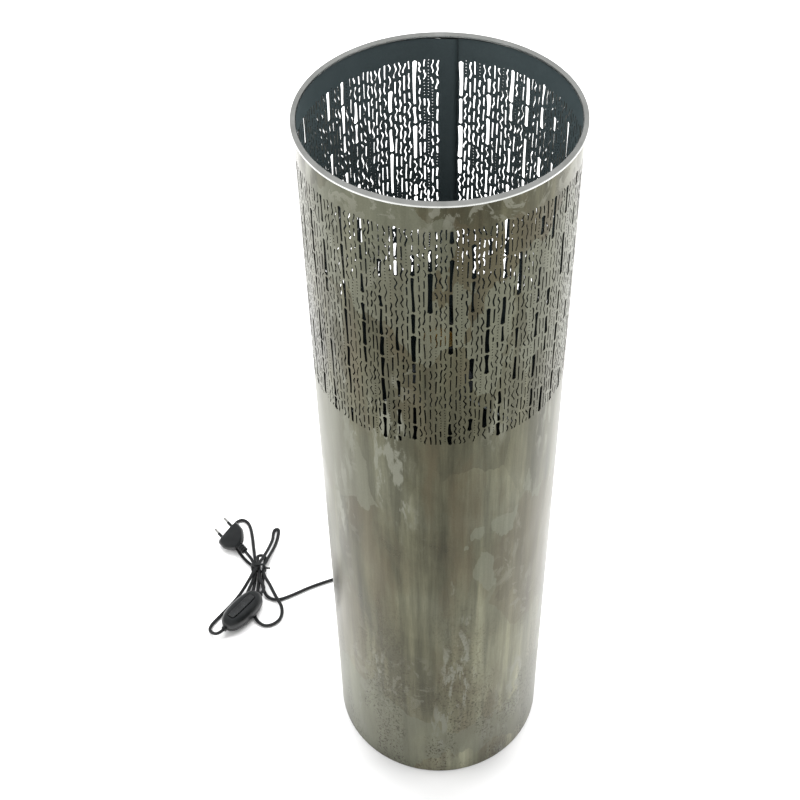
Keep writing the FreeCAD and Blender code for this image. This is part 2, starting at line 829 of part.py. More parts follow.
def make_clamp():
    """Saddle that holds the lead on the base plate."""
    body = new_body("cord_clamp")
    plate_top = size("plate_height") + size("plate_wall")
    axis_height = size("exit_height") - plate_top
    crown = cord_bore + size("clamp_wall")
    half = size("clamp_length") / 2
    ear = size("clamp_ear")
    depth = size("clamp_depth")
    side = new_sketch(body, "clamp_side", "YZ_Plane", height=-(depth / 2))
    draw_outline(side, (
        (-half, 0),
        (half, 0),
        (half, ear),
        (crown, ear),
        (crown, axis_height),
        (-crown, axis_height, (0, float(axis_height + crown))),
        (-crown, ear),
        (-half, ear),
    ))
    draw_circle(side, 0, axis_height, cord_bore)
    pad(body, side, depth)
    holes = new_sketch(body, "clamp_holes")
    for x in (-1, 1):
        draw_circle(holes, 0, x * size("clamp_pitch") / 2,
                    size("screw_diameter") / 2 + weld_gap)
    pocket(body, holes, size("clamp_length"), forward=True)
    turn = Rotation(Vector(0, 0, 1), float(size("exit_angle")))
    body.Placement = Placement(clamp_point(0, plate_top), turn)
    return body


def make_clamp_screws():
    """Two hexagon-headed screws through the clamp into the plate."""
    screws = []
    reach = size("clamp_ear") + size("plate_wall")
    for index, side in enumerate((-1, 1)):
        body = new_body(f"clamp_screw_{index}")
        head = new_sketch(body, f"screw_head_{index}", height=reach)
        draw_outline(head, hexagon(size("screw_flats")), held=False)
        pad(body, head, size("screw_head"))
        shank = new_sketch(body, f"screw_shank_{index}")
        draw_circle(shank, 0, 0, size("screw_diameter") / 2)
        pad(body, shank, reach)
        point = clamp_point(side * float(size("clamp_pitch")) / 2, size("plate_height"))
        body.Placement = Placement(point, Rotation())
        screws.append(body)
    return group("clamp_screws", screws)


def make_tie():
    """Flat twist tie round the bundle, its ends twisted into a short tail."""
    body = new_body("cord_tie")
    thick = float(size("tie_wall"))
    sketch = new_sketch(body, "tie_loop", "XZ_Plane", height=size("tie_width") / -2)
    for grow in (0.0, thick):
        half_x = TIE_OPENING[0] / 2 + grow
        half_z = TIE_OPENING[1] / 2 + grow
        corner = TIE_CORNER + grow
        skew = corner * (1 - math.sqrt(0.5))
        draw_outline(sketch, (
            (half_x - corner, -half_z),
            (half_x, corner - half_z, (half_x - skew, skew - half_z)),
            (half_x, half_z - corner),
            (half_x - corner, half_z, (half_x - skew, half_z - skew)),
            (corner - half_x, half_z),
            (-half_x, half_z - corner, (skew - half_x, half_z - skew)),
            (-half_x, corner - half_z),
            (corner - half_x, -half_z, (skew - half_x, skew - half_z)),
        ), held=False)
    pad(body, sketch, size("tie_width"))
    tail = new_sketch(body, "tie_tail", "XZ_Plane", height=-size("tie_wall"))
    edge = TIE_OPENING[0] / 2 + thick / 2
    draw_outline(tail, (
        (edge, -thick), (edge + TIE_TAIL, -2 * thick),
        (edge + TIE_TAIL, 0), (edge, thick),
    ), held=False)
    pad(body, tail, size("tie_wall") * 2)
    body.Placement = Placement(Vector(*TIE_CENTRE), Rotation())
    return body


# ---------------------------------------------------------------- foot switch
switch_place = Placement(
    Vector(*SWITCH_CENTRE, float(size("switch_lift"))),
    Rotation(Vector(0, 0, 1), SWITCH_ANGLE))
split = size("switch_base_height")
collar_reach = size("switch_length") / 2 + size("collar_length")
roof_inside = split + size("switch_cover_height") - size("switch_roof")
flange_length = size("button_length") + size("button_rim") * 2
flange_width = size("button_width") + size("button_rim") * 2


def switch_shell(label, bottom, height, up):
    """Oval half of the housing with its half of both cord collars."""
    body = new_body(label)
    plan = new_sketch(body, label + "_plan", height=bottom)
    draw_outline(plan, oval(size("switch_length"), size("switch_width"),
                            size("switch_end_radius")), held=False)
    block = pad(body, plan, height)
    if up > 0:
        block = bevel_edges(body, block, size("switch_bevel"),
                            level(float(bottom + height)), label + "_bevel")
    collar = new_sketch(body, label + "_collar", "YZ_Plane", height=-collar_reach)
    radius = size("collar_diameter") / 2
    draw_outline(collar, (
        (-radius, split),
        (radius, split, (0, float(split + radius * up))),
    ))
    pad(body, collar, collar_reach * 2)
    return body


def cut_cord_bore(body, label):
    """Passage for the cord, along the housing at the split."""
    bore = new_sketch(body, label + "_bore", "YZ_Plane", height=-collar_reach)
    draw_circle(bore, 0, split, cord_bore)
    pocket(body, bore, collar_reach * 2, forward=True)


def make_switch_base():
    body = switch_shell("switch_base", 0.0, split, -1)
    well = new_sketch(body, "base_well", height=split)
    draw_outline(well, long_hole(flange_length + play * 2, flange_width + play * 2))
    pocket(body, well, split - size("switch_floor"))
    cut_cord_bore(body, "base")
    body.Placement = switch_place
    return body


def make_switch_cover():
    body = switch_shell("switch_cover", split, size("switch_cover_height"), 1)
    well = new_sketch(body, "cover_well", height=split)
    draw_outline(well, long_hole(flange_length + play * 2, flange_width + play * 2))
    pocket(body, well, size("switch_cover_height") - size("switch_roof"), forward=True)
    cut_cord_bore(body, "cover")
    window = new_sketch(body, "cover_window", height=split)
    draw_outline(window, long_hole(
        size("button_length") + play * 2, size("button_width") + play * 2))
    pocket(body, window, size("switch_cover_height") * 2, forward=True)
    body.Placement = switch_place
    return body


def make_switch_button():
    """Long button with a rim that keeps it under the roof."""
    body = new_body("switch_button")
    rim_bottom = roof_inside - play - size("button_flange")
    rim = new_sketch(body, "button_rim_plan", height=rim_bottom)
    draw_outline(rim, long_hole(flange_length, flange_width))
    pad(body, rim, size("button_flange"))
    top = roof_inside + size("switch_roof") + size("button_rise")
    cap = new_sketch(body, "button_cap_plan", height=rim_bottom)
    draw_outline(cap, long_hole(size("button_length"), size("button_width")))
    pad(body, cap, top - rim_bottom)
    body.Placement = switch_place
    return body


# ---------------------------------------------------------------- plug
plug_place = Placement(Vector(*PLUG_ENTRY), Rotation(PLUG_ANGLE, 0, PLUG_ROLL))
plug_front = size("neck_length") + size("plug_length")
metal_radius = size("pin_diameter") / 2 - size("sleeve_wall")


def make_plug_body():
    """Flat moulded body, widest at the front, with a notched neck for the cord."""
    body = new_body("plug_body")
    thick = size("plug_thickness")
    rear = size("neck_length")
    half = size("plug_width") / 2
    shoulder = size("plug_shoulder") / 2
    waist = rear + size("plug_length") / 2
    plan = new_sketch(body, "plug_plan", height=thick / -2)
    draw_outline(plan, (
        (rear, -shoulder),
        (waist, -half),
        (plug_front, -half),
        (plug_front, half),
        (waist, half),
        (rear, shoulder),
    ))
    block = pad(body, plan, thick)

    def along_side(box):
        outer = max(abs(box.YMin), abs(box.YMax)) > float(shoulder) + 1e-3
        lies_flat = box.ZMax - box.ZMin < 1e-4
        runs_back = box.XMax - box.XMin > 1
        return outer and lies_flat and runs_back

    bevel_edges(body, block, size("plug_bevel"), along_side, "plug_bevels")
    neck_half = size("neck_width") / 2
    waisted = neck_half - size("neck_notch")
    step = size("neck_length") / 7
    upper = [(rear + step, neck_half)]
    for notch in (3, 2, 1):
        upper.append((step * (2 * notch), neck_half))
        upper.append((step * (2 * notch), waisted))
        upper.append((step * (2 * notch - 1), waisted))
        upper.append((step * (2 * notch - 1), neck_half))
    upper.append((0, neck_half))
    lower = [(x, -y) for x, y in reversed(upper)]
    neck = new_sketch(body, "neck_plan", height=size("neck_thickness") / -2)
    draw_outline(neck, tuple(upper + lower))
    pad(body, neck, size("neck_thickness"))
    sockets = new_sketch(body, "pin_sockets", "YZ_Plane", height=plug_front)
    for side in (-1, 1):
        draw_circle(sockets, side * size("pin_spacing") / 2, 0,
                    metal_radius + weld_gap)
    pocket(body, sockets, size("pin_root") + weld_gap)
    body.Placement = plug_place
    return body


def beside_plug(item, side):
    """Turn a piece made along Z to a pin's place at the plug's front."""
    lengthwise = Rotation(Vector(0, 0, 1), Vector(1, 0, 0))
    offset = Vector(float(plug_front), side * float(size("pin_spacing")) / 2, 0)
    item.Placement = plug_place.multiply(Placement(offset, lengthwise))
    return item


def make_plug_pins():
    """Round pins: thin root and shank, full size beyond the sleeve."""
    pins = []
    full = size("pin_diameter") / 2
    for index, side in enumerate((-1, 1)):
        pin = turned(f"plug_pin_{index}", (
            (0, -size("pin_root")),
            (metal_radius, -size("pin_root")),
            (metal_radius, size("sleeve_length")),
            (full, size("sleeve_length")),
            (full, size("pin_length")),
            (0, size("pin_length")),
        ))
        pins.append(beside_plug(pin, side))
    return group("plug_pins", pins)


def make_plug_sleeves():
    """Insulation round each pin's shank."""
    sleeves = []
    for index, side in enumerate((-1, 1)):
        sleeve = turned(f"plug_sleeve_{index}", (
            (metal_radius + weld_gap, weld_gap),
            (size("pin_diameter") / 2, weld_gap),
            (size("pin_diameter") / 2, size("sleeve_length") - weld_gap),
            (metal_radius + weld_gap, size("sleeve_length") - weld_gap),
        ))
        sleeves.append(beside_plug(sleeve, side))
    return group("plug_sleeves", sleeves)


# ---------------------------------------------------------------- lead
def bent_wire(points, share=0.45):
    """Straight runs joined by tangent arcs. Returns the wire and its bend radii."""
    edges = []
    radii = []
    start = points[0]
    for before, corner, after in zip(points, points[1:], points[2:]):
        back = before - corner
        ahead = after - corner
        reach = share * min(back.Length, ahead.Length)
        back.normalize()
        ahead.normalize()
        turn = math.pi - back.getAngle(ahead)
        radius = reach / math.tan(turn / 2)
        middle = (back + ahead).normalize()
        centre = corner + middle * (radius / math.cos(turn / 2))
        first = corner + back * reach
        last = corner + ahead * reach
        edges.append(Part.LineSegment(start, first).toShape())
        edges.append(Part.Arc(first, centre - middle * radius, last).toShape())
        radii.append(radius)
        start = last
    edges.append(Part.LineSegment(start, points[-1]).toShape())
    return Part.Wire(edges), radii


def make_cord(label, points):
    """A stretch of the lead as one tube; prints its length and its bends."""
    points = [Vector(*point) for point in points]
    path, radii = bent_wire(points)
    square = Rotation(Vector(0, 0, 1), points[1] - points[0])
    corners = [
        points[0] + square.multVec(flat(corner))
        for corner in many_sided(size("cord_diameter"), int(size("cord_sides")))
    ]
    section = Part.makePolygon(corners + corners[:1])
    solid = path.makePipeShell([section], True, False)
    ratio = solid.Volume / (Part.Face(section).Area * path.Length)
    print(f"{label}: {path.Length:.0f} mm long, volume ratio {ratio:.4f}, bend radii "
          + " ".join(f"{bend:.1f}" for bend in radii))
    node = doc.addObject("Part::Feature", label)
    node.Label = label
    node.Shape = solid
    return node, path


def print_least_gap(paths):
    """Least free gap between strands of the lead, measured on points."""
    diameter = float(size("cord_diameter"))
    points = []
    for number, path in enumerate(paths):
        count = int(path.Length)
        for index, point in enumerate(path.discretize(Number=count)):
            points.append((number, index * path.Length / (count - 1), point))
    least = 1e9
    for position, (number, along, point) in enumerate(points):
        for other, far, there in points[position + 1:]:
            if number == other and far - along < 3.5 * diameter:
                continue
            least = min(least, point.distanceToPoint(there))
    print(f"lead: least gap between strands {least - diameter:.2f} mm")


def make_inner_cord():
    """From the contact block down the tube, under the clamp and out."""
    angle = float(size("exit_angle"))
    low = size("exit_height")
    return make_cord("inner_cord", (
        Vector(0, 0, float(block_bottom)),
        Vector(0, 0, float(low) + 36),
        about_axis(13, angle, low + 10),
        about_axis(37, angle, low),
        about_axis(tube_radius + size("grommet_head"), angle, low),
    ))


def switch_end(side, run=0.0):
    """Point on the switch's cord axis, at a collar's face or further out."""
    along = Vector(*polar(side * (float(collar_reach) + run), SWITCH_ANGLE), 0)
    height = float(size("switch_lift") + split)
    return Vector(*SWITCH_CENTRE, height) + along


def make_lamp_side():
    """From the bushing along the floor, through the bundle, to the switch."""
    angle = float(size("exit_angle"))
    low = size("exit_height")
    face = tube_radius + size("grommet_head")
    return make_cord("cord_lamp_side", (
        about_axis(face, angle, low),
        about_axis(face + LAMP_RUN, angle, low),
        *LAMP_ROUTE,
        switch_end(1, SWITCH_RUN),
        switch_end(1),
    ))


def make_hank():
    """From the switch, round and round through the bundle, to the plug."""
    entry = Vector(*PLUG_ENTRY)
    return make_cord("cord_hank", (
        switch_end(-1),
        switch_end(-1, SWITCH_RUN),
        *PLUG_ROUTE,
        entry - Vector(*polar(PLUG_RUN, PLUG_ANGLE), 0),
        entry,
    ))


# ---------------------------------------------------------------- build and write
def build_all():
    nodes = [
        make_tube_shell(), make_rim_bead(), make_base_plate(), make_foot_pads(),
        make_spider_hub(), make_spider_arms(), make_nipple(), make_nut(), make_cap(),
        make_mantle(), make_block(), make_screw_shell(), make_contact(),
        make_grommet(), make_clamp(), make_clamp_screws(), make_tie(),
        make_switch_base(), make_switch_cover(), make_switch_button(),
        make_plug_body(), make_plug_pins(), make_plug_sleeves(),
    ]
    inner, inner_path = make_inner_cord()
    lamp_side, lamp_path = make_lamp_side()
    hank, hank_path = make_hank()
    print_least_gap([lamp_path, hank_path])
    return nodes + [inner, lamp_side, hank]


def check_all(nodes):
    """Stop when a feature failed, a cut missed or a solid is not valid."""
    for item in doc.Objects:
        if "Invalid" in item.State or "Error" in item.State:
            raise RuntimeError(f"{item.Name} failed: {item.State}")
        if item.TypeId == "PartDesign::Pocket":
            before = item.BaseFeature.Shape.Volume
            if before - item.Shape.Volume < 1e-3:
                raise RuntimeError(f"{item.Name} cuts nothing")
    for node in nodes:
        if node.Shape.isNull() or not node.Shape.isValid():
            raise RuntimeError(f"{node.Label} is not a valid shape")


def main():
    nodes = build_all()
    doc.recompute()
    check_all(nodes)
    os.makedirs("parts", exist_ok=True)
    for node in nodes:
        node.Shape.exportStep(f"parts/{node.Label}.step")
    print(f"{len(nodes)} nodes written")


main()
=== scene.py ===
import bpy
import math
import random
from mathutils import Matrix, Vector
from mathutils.geometry import delaunay_2d_cdt


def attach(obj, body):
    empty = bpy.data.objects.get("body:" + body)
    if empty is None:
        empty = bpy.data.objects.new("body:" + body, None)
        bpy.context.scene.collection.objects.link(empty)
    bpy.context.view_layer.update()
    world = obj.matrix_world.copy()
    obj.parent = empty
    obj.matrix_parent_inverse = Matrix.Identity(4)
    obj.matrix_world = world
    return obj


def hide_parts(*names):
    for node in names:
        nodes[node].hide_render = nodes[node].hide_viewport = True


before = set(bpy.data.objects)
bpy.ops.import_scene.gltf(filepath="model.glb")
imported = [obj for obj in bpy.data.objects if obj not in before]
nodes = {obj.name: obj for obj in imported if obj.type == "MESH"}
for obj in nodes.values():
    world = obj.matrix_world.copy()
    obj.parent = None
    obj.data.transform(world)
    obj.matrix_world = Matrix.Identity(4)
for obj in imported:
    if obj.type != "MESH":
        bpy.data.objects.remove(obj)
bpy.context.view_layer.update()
MM = 0.001
LAMP_HEIGHT = 0.802


# ------------------------------------------------------------------ camera
SENSOR_WIDTH = 36
FOCAL_PIXELS, PICTURE_PIXELS = 1375.68, 800
CAMERA_PLACE = (0.0, -0.8866, 1.4041)


def turn(axis, angle):
    return Matrix.Rotation(angle, 3, axis)


camera = bpy.data.objects.new("camera", bpy.data.cameras.new("camera"))
bpy.context.scene.collection.objects.link(camera)
look = turn("Z", 0.0405) @ turn("X", -0.8033) @ turn("Y", 0.0274)
side, ahead, up = look.col[0], look.col[1], look.col[2]
camera.matrix_world = Matrix((
    (side.x, up.x, -ahead.x, CAMERA_PLACE[0]), (side.y, up.y, -ahead.y, CAMERA_PLACE[1]),
    (side.z, up.z, -ahead.z, CAMERA_PLACE[2]), (0, 0, 0, 1)))
camera.data.sensor_width = SENSOR_WIDTH
camera.data.lens = SENSOR_WIDTH * FOCAL_PIXELS / PICTURE_PIXELS
camera.data.clip_start = 0.01
camera.data.clip_end = 20
bpy.context.scene.camera = camera
bpy.context.scene.view_settings.view_transform = "Standard"


# ------------------------------------------------------------------ node helpers
class Shader:
    """Short way to lay out one node material."""

    def __init__(self, name):
        self.material = bpy.data.materials.new(name)
        self.material.use_nodes = True
        self.tree = self.material.node_tree
        self.surface = self.tree.nodes["Principled BSDF"]
        self.places = self.node("ShaderNodeTexCoord").outputs["Object"]

    def node(self, kind, **settings):
        made = self.tree.nodes.new(kind)
        for key, value in settings.items():
            setattr(made, key, value)
        return made

    def feed(self, socket, value):
        if isinstance(value, bpy.types.NodeSocket):
            self.tree.links.new(value, socket)
        else:
            socket.default_value = value

    def scaled(self, x, y, z, shift=(0, 0, 0)):
        made = self.node("ShaderNodeMapping")
        self.feed(made.inputs["Vector"], self.places)
        made.inputs["Scale"].default_value = (x, y, z)
        made.inputs["Location"].default_value = shift
        return made.outputs["Vector"]

    def noise(self, where, detail, rough, distortion=0.0):
        made = self.node("ShaderNodeTexNoise")
        self.feed(made.inputs["Vector"], where)
        made.inputs["Scale"].default_value = 1.0
        made.inputs["Detail"].default_value = detail
        made.inputs["Roughness"].default_value = rough
        made.inputs["Distortion"].default_value = distortion
        return made.outputs["Fac"]

    def ramp(self, value, *stops):
        made = self.node("ShaderNodeValToRGB")
        self.feed(made.inputs["Fac"], value)
        elements = made.color_ramp.elements
        while len(elements) < len(stops):
            elements.new(0.5)
        for element, (place, colour) in zip(elements, stops):
            element.position = place
            grey = not hasattr(colour, "__len__")
            element.color = (colour, colour, colour, 1) if grey else (*colour, 1)
        return made.outputs["Color"]

    def mix(self, share, first, second, how="MIX"):
        made = self.node("ShaderNodeMix", data_type="RGBA", blend_type=how)
        self.feed(made.inputs[0], share)
        for socket, value in ((made.inputs[6], first), (made.inputs[7], second)):
            if not isinstance(value, bpy.types.NodeSocket):
                value = (*value, 1)
            self.feed(socket, value)
        return made.outputs[2]

    def math(self, how, first, second):
        made = self.node("ShaderNodeMath", operation=how)
        self.feed(made.inputs[0], first)
        self.feed(made.inputs[1], second)
        return made.outputs[0]

    def bump(self, height, strength, distance, under=None):
        made = self.node("ShaderNodeBump")
        self.feed(made.inputs["Height"], height)
        made.inputs["Strength"].default_value = strength
        made.inputs["Distance"].default_value = distance
        if under is not None:
            self.feed(made.inputs["Normal"], under)
        return made.outputs["Normal"]

    def finish(self, colour, metallic, roughness, normal=None, **more):
        self.feed(self.surface.inputs["Base Color"],
                  colour if isinstance(colour, bpy.types.NodeSocket) else (*colour, 1))
        self.feed(self.surface.inputs["Metallic"], metallic)
        self.feed(self.surface.inputs["Roughness"], roughness)
        if normal is not None:
            self.feed(self.surface.inputs["Normal"], normal)
        for key, value in more.items():
            self.surface.inputs[key.replace("_", " ")].default_value = value
        return self.material


def torn_cells(s, scale, offset, jag):
    """Two random values for each angular cell; the edges of the cells are torn."""
    tear = s.node("ShaderNodeTexNoise")
    s.feed(tear.inputs["Vector"], s.scaled(42, 42, 16, offset))
    tear.inputs["Scale"].default_value = 1.0
    tear.inputs["Detail"].default_value = 8.0
    torn = s.node("ShaderNodeVectorMath", operation="MULTIPLY_ADD")
    s.feed(torn.inputs[0], tear.outputs["Color"])
    torn.inputs[1].default_value = (jag, jag, jag)
    s.feed(torn.inputs[2], s.scaled(*scale, offset))
    cell = s.node("ShaderNodeTexVoronoi")
    s.feed(cell.inputs["Vector"], torn.outputs[0])
    cell.inputs["Scale"].default_value = 1.0
    split = s.node("ShaderNodeSeparateColor")
    s.feed(split.inputs[0], cell.outputs["Color"])
    return split.outputs[0], split.outputs[1]


def patinated_metal():
    """Sheet outside: olive grey metal with brushed streaks, brown stains and pale patches; a
    painted floor reflection brightens it towards the foot.
    """
    s = Shader("patinated_sheet")
    streaks = s.noise(s.scaled(95, 95, 5), 7, 0.66)
    wipes = s.noise(s.scaled(30, 30, 3.4, (2, 7, 1)), 6, 0.58, 0.3)
    clouds = s.noise(s.scaled(10, 10, 5, (3, 1, 0.4)), 5, 0.58, 0.5)
    stains = s.noise(s.scaled(19, 19, 5, (7, 2, 5)), 8, 0.64, 0.3)
    strokes = s.noise(s.scaled(120, 120, 26, (1, 9, 3)), 7, 0.66, 0.4)
    swirl = s.noise(s.scaled(38, 38, 30, (6, 4, 8)), 9, 0.62, 1.6)
    grain = s.noise(s.scaled(900, 900, 900), 3, 0.6)
    specks = s.noise(s.scaled(420, 420, 260, (2, 2, 2)), 5, 0.7)
    paler, browner = torn_cells(s, (9.0, 9.0, 8.0), (1, 3, 2), 0.42)
    wide_cells, _ = torn_cells(s, (15.0, 15.0, 5.0), (4, 1, 6), 0.30)
    high = s.node("ShaderNodeSeparateXYZ")
    s.feed(high.inputs[0], s.places)
    level = s.math("DIVIDE", high.outputs["Z"], LAMP_HEIGHT)
    near_top = s.ramp(level, (0.955, 0.0), (0.985, 1.0))
    near_foot = s.ramp(level, (0.10, 1.0), (0.46, 0.0))
    base = s.ramp(clouds, (0.34, (0.057, 0.054, 0.034)), (0.50, (0.081, 0.079, 0.050)),
                  (0.66, (0.106, 0.106, 0.073)))
    base = s.mix(1.0, base, s.ramp(streaks, (0.30, 0.62), (0.50, 1.0), (0.70, 1.45)), "MULTIPLY")
    base = s.mix(1.0, base, s.ramp(wipes, (0.32, 0.68), (0.50, 1.0), (0.66, 1.35)), "MULTIPLY")
    base = s.mix(1.0, base, s.ramp(wide_cells, (0.0, 0.80), (1.0, 1.18)), "MULTIPLY")
    # painted floor reflection: the base colour is brightened towards the foot, standing in for
    # the white floor seen in the metal
    painted_floor_glow = s.ramp(level, (0.02, 1.85), (0.16, 1.45), (0.34, 1.08), (0.55, 0.95), (1.0, 1.0))
    base = s.mix(1.0, base, painted_floor_glow, "MULTIPLY")
    brown = s.math("MAXIMUM", s.ramp(stains, (0.50, 0.0), (0.62, 0.55)),
                   s.ramp(browner, (0.72, 0.0), (0.74, 0.42)))
    base = s.mix(brown, base, (0.084, 0.069, 0.041))
    pale = s.math("MULTIPLY", s.ramp(paler, (0.665, 0.0), (0.67, 0.66)),
                  s.ramp(streaks, (0.34, 0.6), (0.62, 1.0)))
    base = s.mix(pale, base, (0.142, 0.148, 0.110))
    torn = s.math("MULTIPLY", s.ramp(strokes, (0.50, 0.0), (0.56, 1.0)),
                  s.ramp(s.noise(s.scaled(24, 24, 5, (3, 8, 2)), 4, 0.5),
                         (0.54, 0.0), (0.62, 0.75)))
    base = s.mix(torn, base, (0.185, 0.188, 0.150))
    flakes = s.ramp(swirl, (0.535, 0.0), (0.548, 0.85), (0.66, 1.0))
    where = s.ramp(s.noise(s.scaled(16, 16, 5, (9, 5, 1)), 4, 0.5), (0.55, 0.0), (0.62, 0.35))
    where = s.math("MAXIMUM", where, s.math("MULTIPLY", near_top, 0.7))
    base = s.mix(s.math("MULTIPLY", flakes, where), base, (0.190, 0.190, 0.152))
    region = s.ramp(s.noise(s.scaled(26, 26, 8, (5, 5, 1)), 4, 0.5), (0.46, 0.0), (0.54, 1.0))
    spots = s.ramp(specks, (0.535, 0.0), (0.575, 1.0))
    base = s.mix(s.math("MULTIPLY", s.math("MULTIPLY", region, near_foot),
                        s.math("MULTIPLY", spots, 0.8)), base, (0.036, 0.028, 0.016))
    base = s.mix(1.0, base, s.ramp(grain, (0.3, 0.92), (0.7, 1.08)), "MULTIPLY")
    rough = s.ramp(clouds, (0.3, 0.25), (0.7, 0.36))
    rough = s.mix(pale, rough, (0.38, 0.38, 0.38))
    wave = s.bump(s.noise(s.scaled(12, 12, 5, (8, 3, 1)), 2, 0.5), 0.5, 0.006)
    fine = s.bump(s.math("ADD", s.math("MULTIPLY", swirl, 0.5), s.math("MULTIPLY", grain, 0.3)),
                  0.12, 0.0006, wave)
    return s.finish(base, 0.94, rough, fine)


def dark_inside():
    s = Shader("dark_inside")
    clouds = s.noise(s.scaled(9, 9, 6), 4, 0.5)
    grain = s.noise(s.scaled(700, 700, 700), 3, 0.6)
    base = s.ramp(clouds, (0.3, (0.062, 0.086, 0.092)), (0.7, (0.084, 0.112, 0.118)))
    tint = s.ramp(grain, (0.3, 0.9), (0.7, 1.1))
    base = s.mix(1.0, base, tint, "MULTIPLY")
    return s.finish(base, 0.25, s.ramp(grain, (0.3, 0.42), (0.7, 0.52)),
                    s.bump(grain, 0.08, 0.0004))


def plain_metal(name, dark, light, roughness, metallic=1.0, lines=(300, 300, 300)):
    s = Shader(name)
    grain = s.noise(s.scaled(*lines), 4, 0.6)
    wear = s.noise(s.scaled(35, 35, 35, (4, 1, 2)), 5, 0.6)
    base = s.ramp(wear, (0.35, dark), (0.65, light))
    rough = s.ramp(grain, (0.3, roughness * 0.8), (0.7, roughness * 1.25))
    return s.finish(base, metallic, rough, s.bump(grain, 0.06, 0.0003))


def moulded(name, colour, roughness, grain_scale=1400, strength=0.12, coat=0.0):
    s = Shader(name)
    grain = s.noise(s.scaled(grain_scale, grain_scale, grain_scale), 3, 0.6)
    dust = s.noise(s.scaled(90, 90, 90, (3, 3, 3)), 5, 0.6)
    base = s.ramp(dust, (0.35, colour), (0.75, tuple(c * 1.5 + 0.004 for c in colour)))
    rough = s.ramp(dust, (0.3, roughness * 0.85), (0.7, roughness * 1.15))
    return s.finish(base, 0.0, rough, s.bump(grain, strength, 0.0003), Coat_Weight=coat)


def felt_cloth():
    s = Shader("felt_cloth")
    fibre = s.noise(s.scaled(1800, 1800, 1800), 6, 0.7)
    base = s.ramp(fibre, (0.3, (0.030, 0.030, 0.030)), (0.7, (0.075, 0.074, 0.072)))
    return s.finish(base, 0.0, 0.95, s.bump(fibre, 0.4, 0.0006), Sheen_Weight=0.3)


looks = {
    "sheet": patinated_metal(),
    "inside": dark_inside(),
    "edge": plain_metal("cut_walls", (0.030, 0.030, 0.024), (0.055, 0.054, 0.044), 0.42),
    "bright": plain_metal("bright_bead", (0.50, 0.51, 0.49), (0.66, 0.67, 0.65), 0.17),
    "dark_steel": plain_metal("dark_steel", (0.050, 0.055, 0.060), (0.085, 0.092, 0.10), 0.45,
                              0.8),
    "zinc": plain_metal("zinc_plate", (0.46, 0.47, 0.48), (0.62, 0.63, 0.64), 0.30),
    "wire": plain_metal("bright_wire", (0.50, 0.51, 0.50), (0.68, 0.69, 0.68), 0.25, 1.0,
                        (900, 900, 200)),
    "brass": plain_metal("worn_brass", (0.52, 0.38, 0.15), (0.72, 0.55, 0.26), 0.26),
    "pins": plain_metal("nickel_pins", (0.55, 0.55, 0.53), (0.74, 0.74, 0.72), 0.20),
    "black": moulded("black_moulding", (0.0045, 0.0055, 0.006), 0.36),
    "button": moulded("button_moulding", (0.0075, 0.0085, 0.009), 0.24, 1600, 0.06, 0.3),
    "ceramic": moulded("glazed_ceramic", (0.66, 0.64, 0.58), 0.22, 500, 0.05, 0.5),
    "lead": moulded("lead_sheath", (0.0045, 0.005, 0.0055), 0.40, 1100, 0.10),
    "felt": felt_cloth(),
}


# ------------------------------------------------------------------ mesh helpers
def piece(name, places, faces, look_names, slot, replaces=(), body="lamp", picks=None,
          smooth=40.0, normals=None):
    """Mesh object from points in millimetres, riding on a body."""
    mesh = bpy.data.meshes.new(name)
    mesh.from_pydata([(x * MM, y * MM, z * MM) for x, y, z in places], [], faces)
    for look_name in look_names:
        mesh.materials.append(looks[look_name])
    if picks is not None:
        mesh.polygons.foreach_set("material_index", picks)
    mesh.update()
    mesh.polygons.foreach_set("use_smooth", [True] * len(mesh.polygons))
    if normals is not None:
        mesh.normals_split_custom_set(normals)
    elif smooth:
        mesh.set_sharp_from_angle(angle=math.radians(smooth))
    made = bpy.data.objects.new(name, mesh)
    bpy.context.scene.collection.objects.link(made)
    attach(made, body)
    if replaces:
        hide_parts(*replaces)
    return made


def polar(radius, degrees, z):
    a = math.radians(degrees)
    return (radius * math.cos(a), radius * math.sin(a), z)


def dress(node, look_name):
    """Gives a carried-over node its material."""
    thing = nodes[node]
    thing.data.materials.clear()
    thing.data.materials.append(looks[look_name])
    thing.data.polygons.foreach_set("material_index", [0] * len(thing.data.polygons))


def rounded(a, b, power, count=48):
    """Superellipse outline."""
    ring = []
    for step in range(count):
        t = 2 * math.pi * (step + 0.5) / count
        c, d = math.cos(t), math.sin(t)
        ring.append((math.copysign(abs(c) ** (2 / power), c) * a,
                     math.copysign(abs(d) ** (2 / power), d) * b))
    return ring


def loft(rings):
    """Closed body through rings of equal count, counter-clockwise seen against their way."""
    places = [p for ring in rings for p in ring]
    count = len(rings[0])
    faces = []
    for row in range(len(rings) - 1):
        for i in range(count):
            j = (i + 1) % count
            a, b = row * count, (row + 1) * count
            faces.append((a + i, a + j, b + j, b + i))
    start = (len(rings) - 1) * count
    faces.append(tuple(reversed(range(count))))
    faces.append(tuple(range(start, start + count)))
    return places, faces


def merged(*parts):
    places, faces = [], []
    for more_places, more_faces in parts:
        shift = len(places)
        places += list(more_places)
        faces += [tuple(i + shift for i in face) for face in more_faces]
    return places, faces


def moved(part, turned, origin):
    places, faces = part
    out = []
    for p in places:
        spot = turned @ Vector(p) + Vector(origin)
        out.append((spot.x, spot.y, spot.z))
    return out, faces


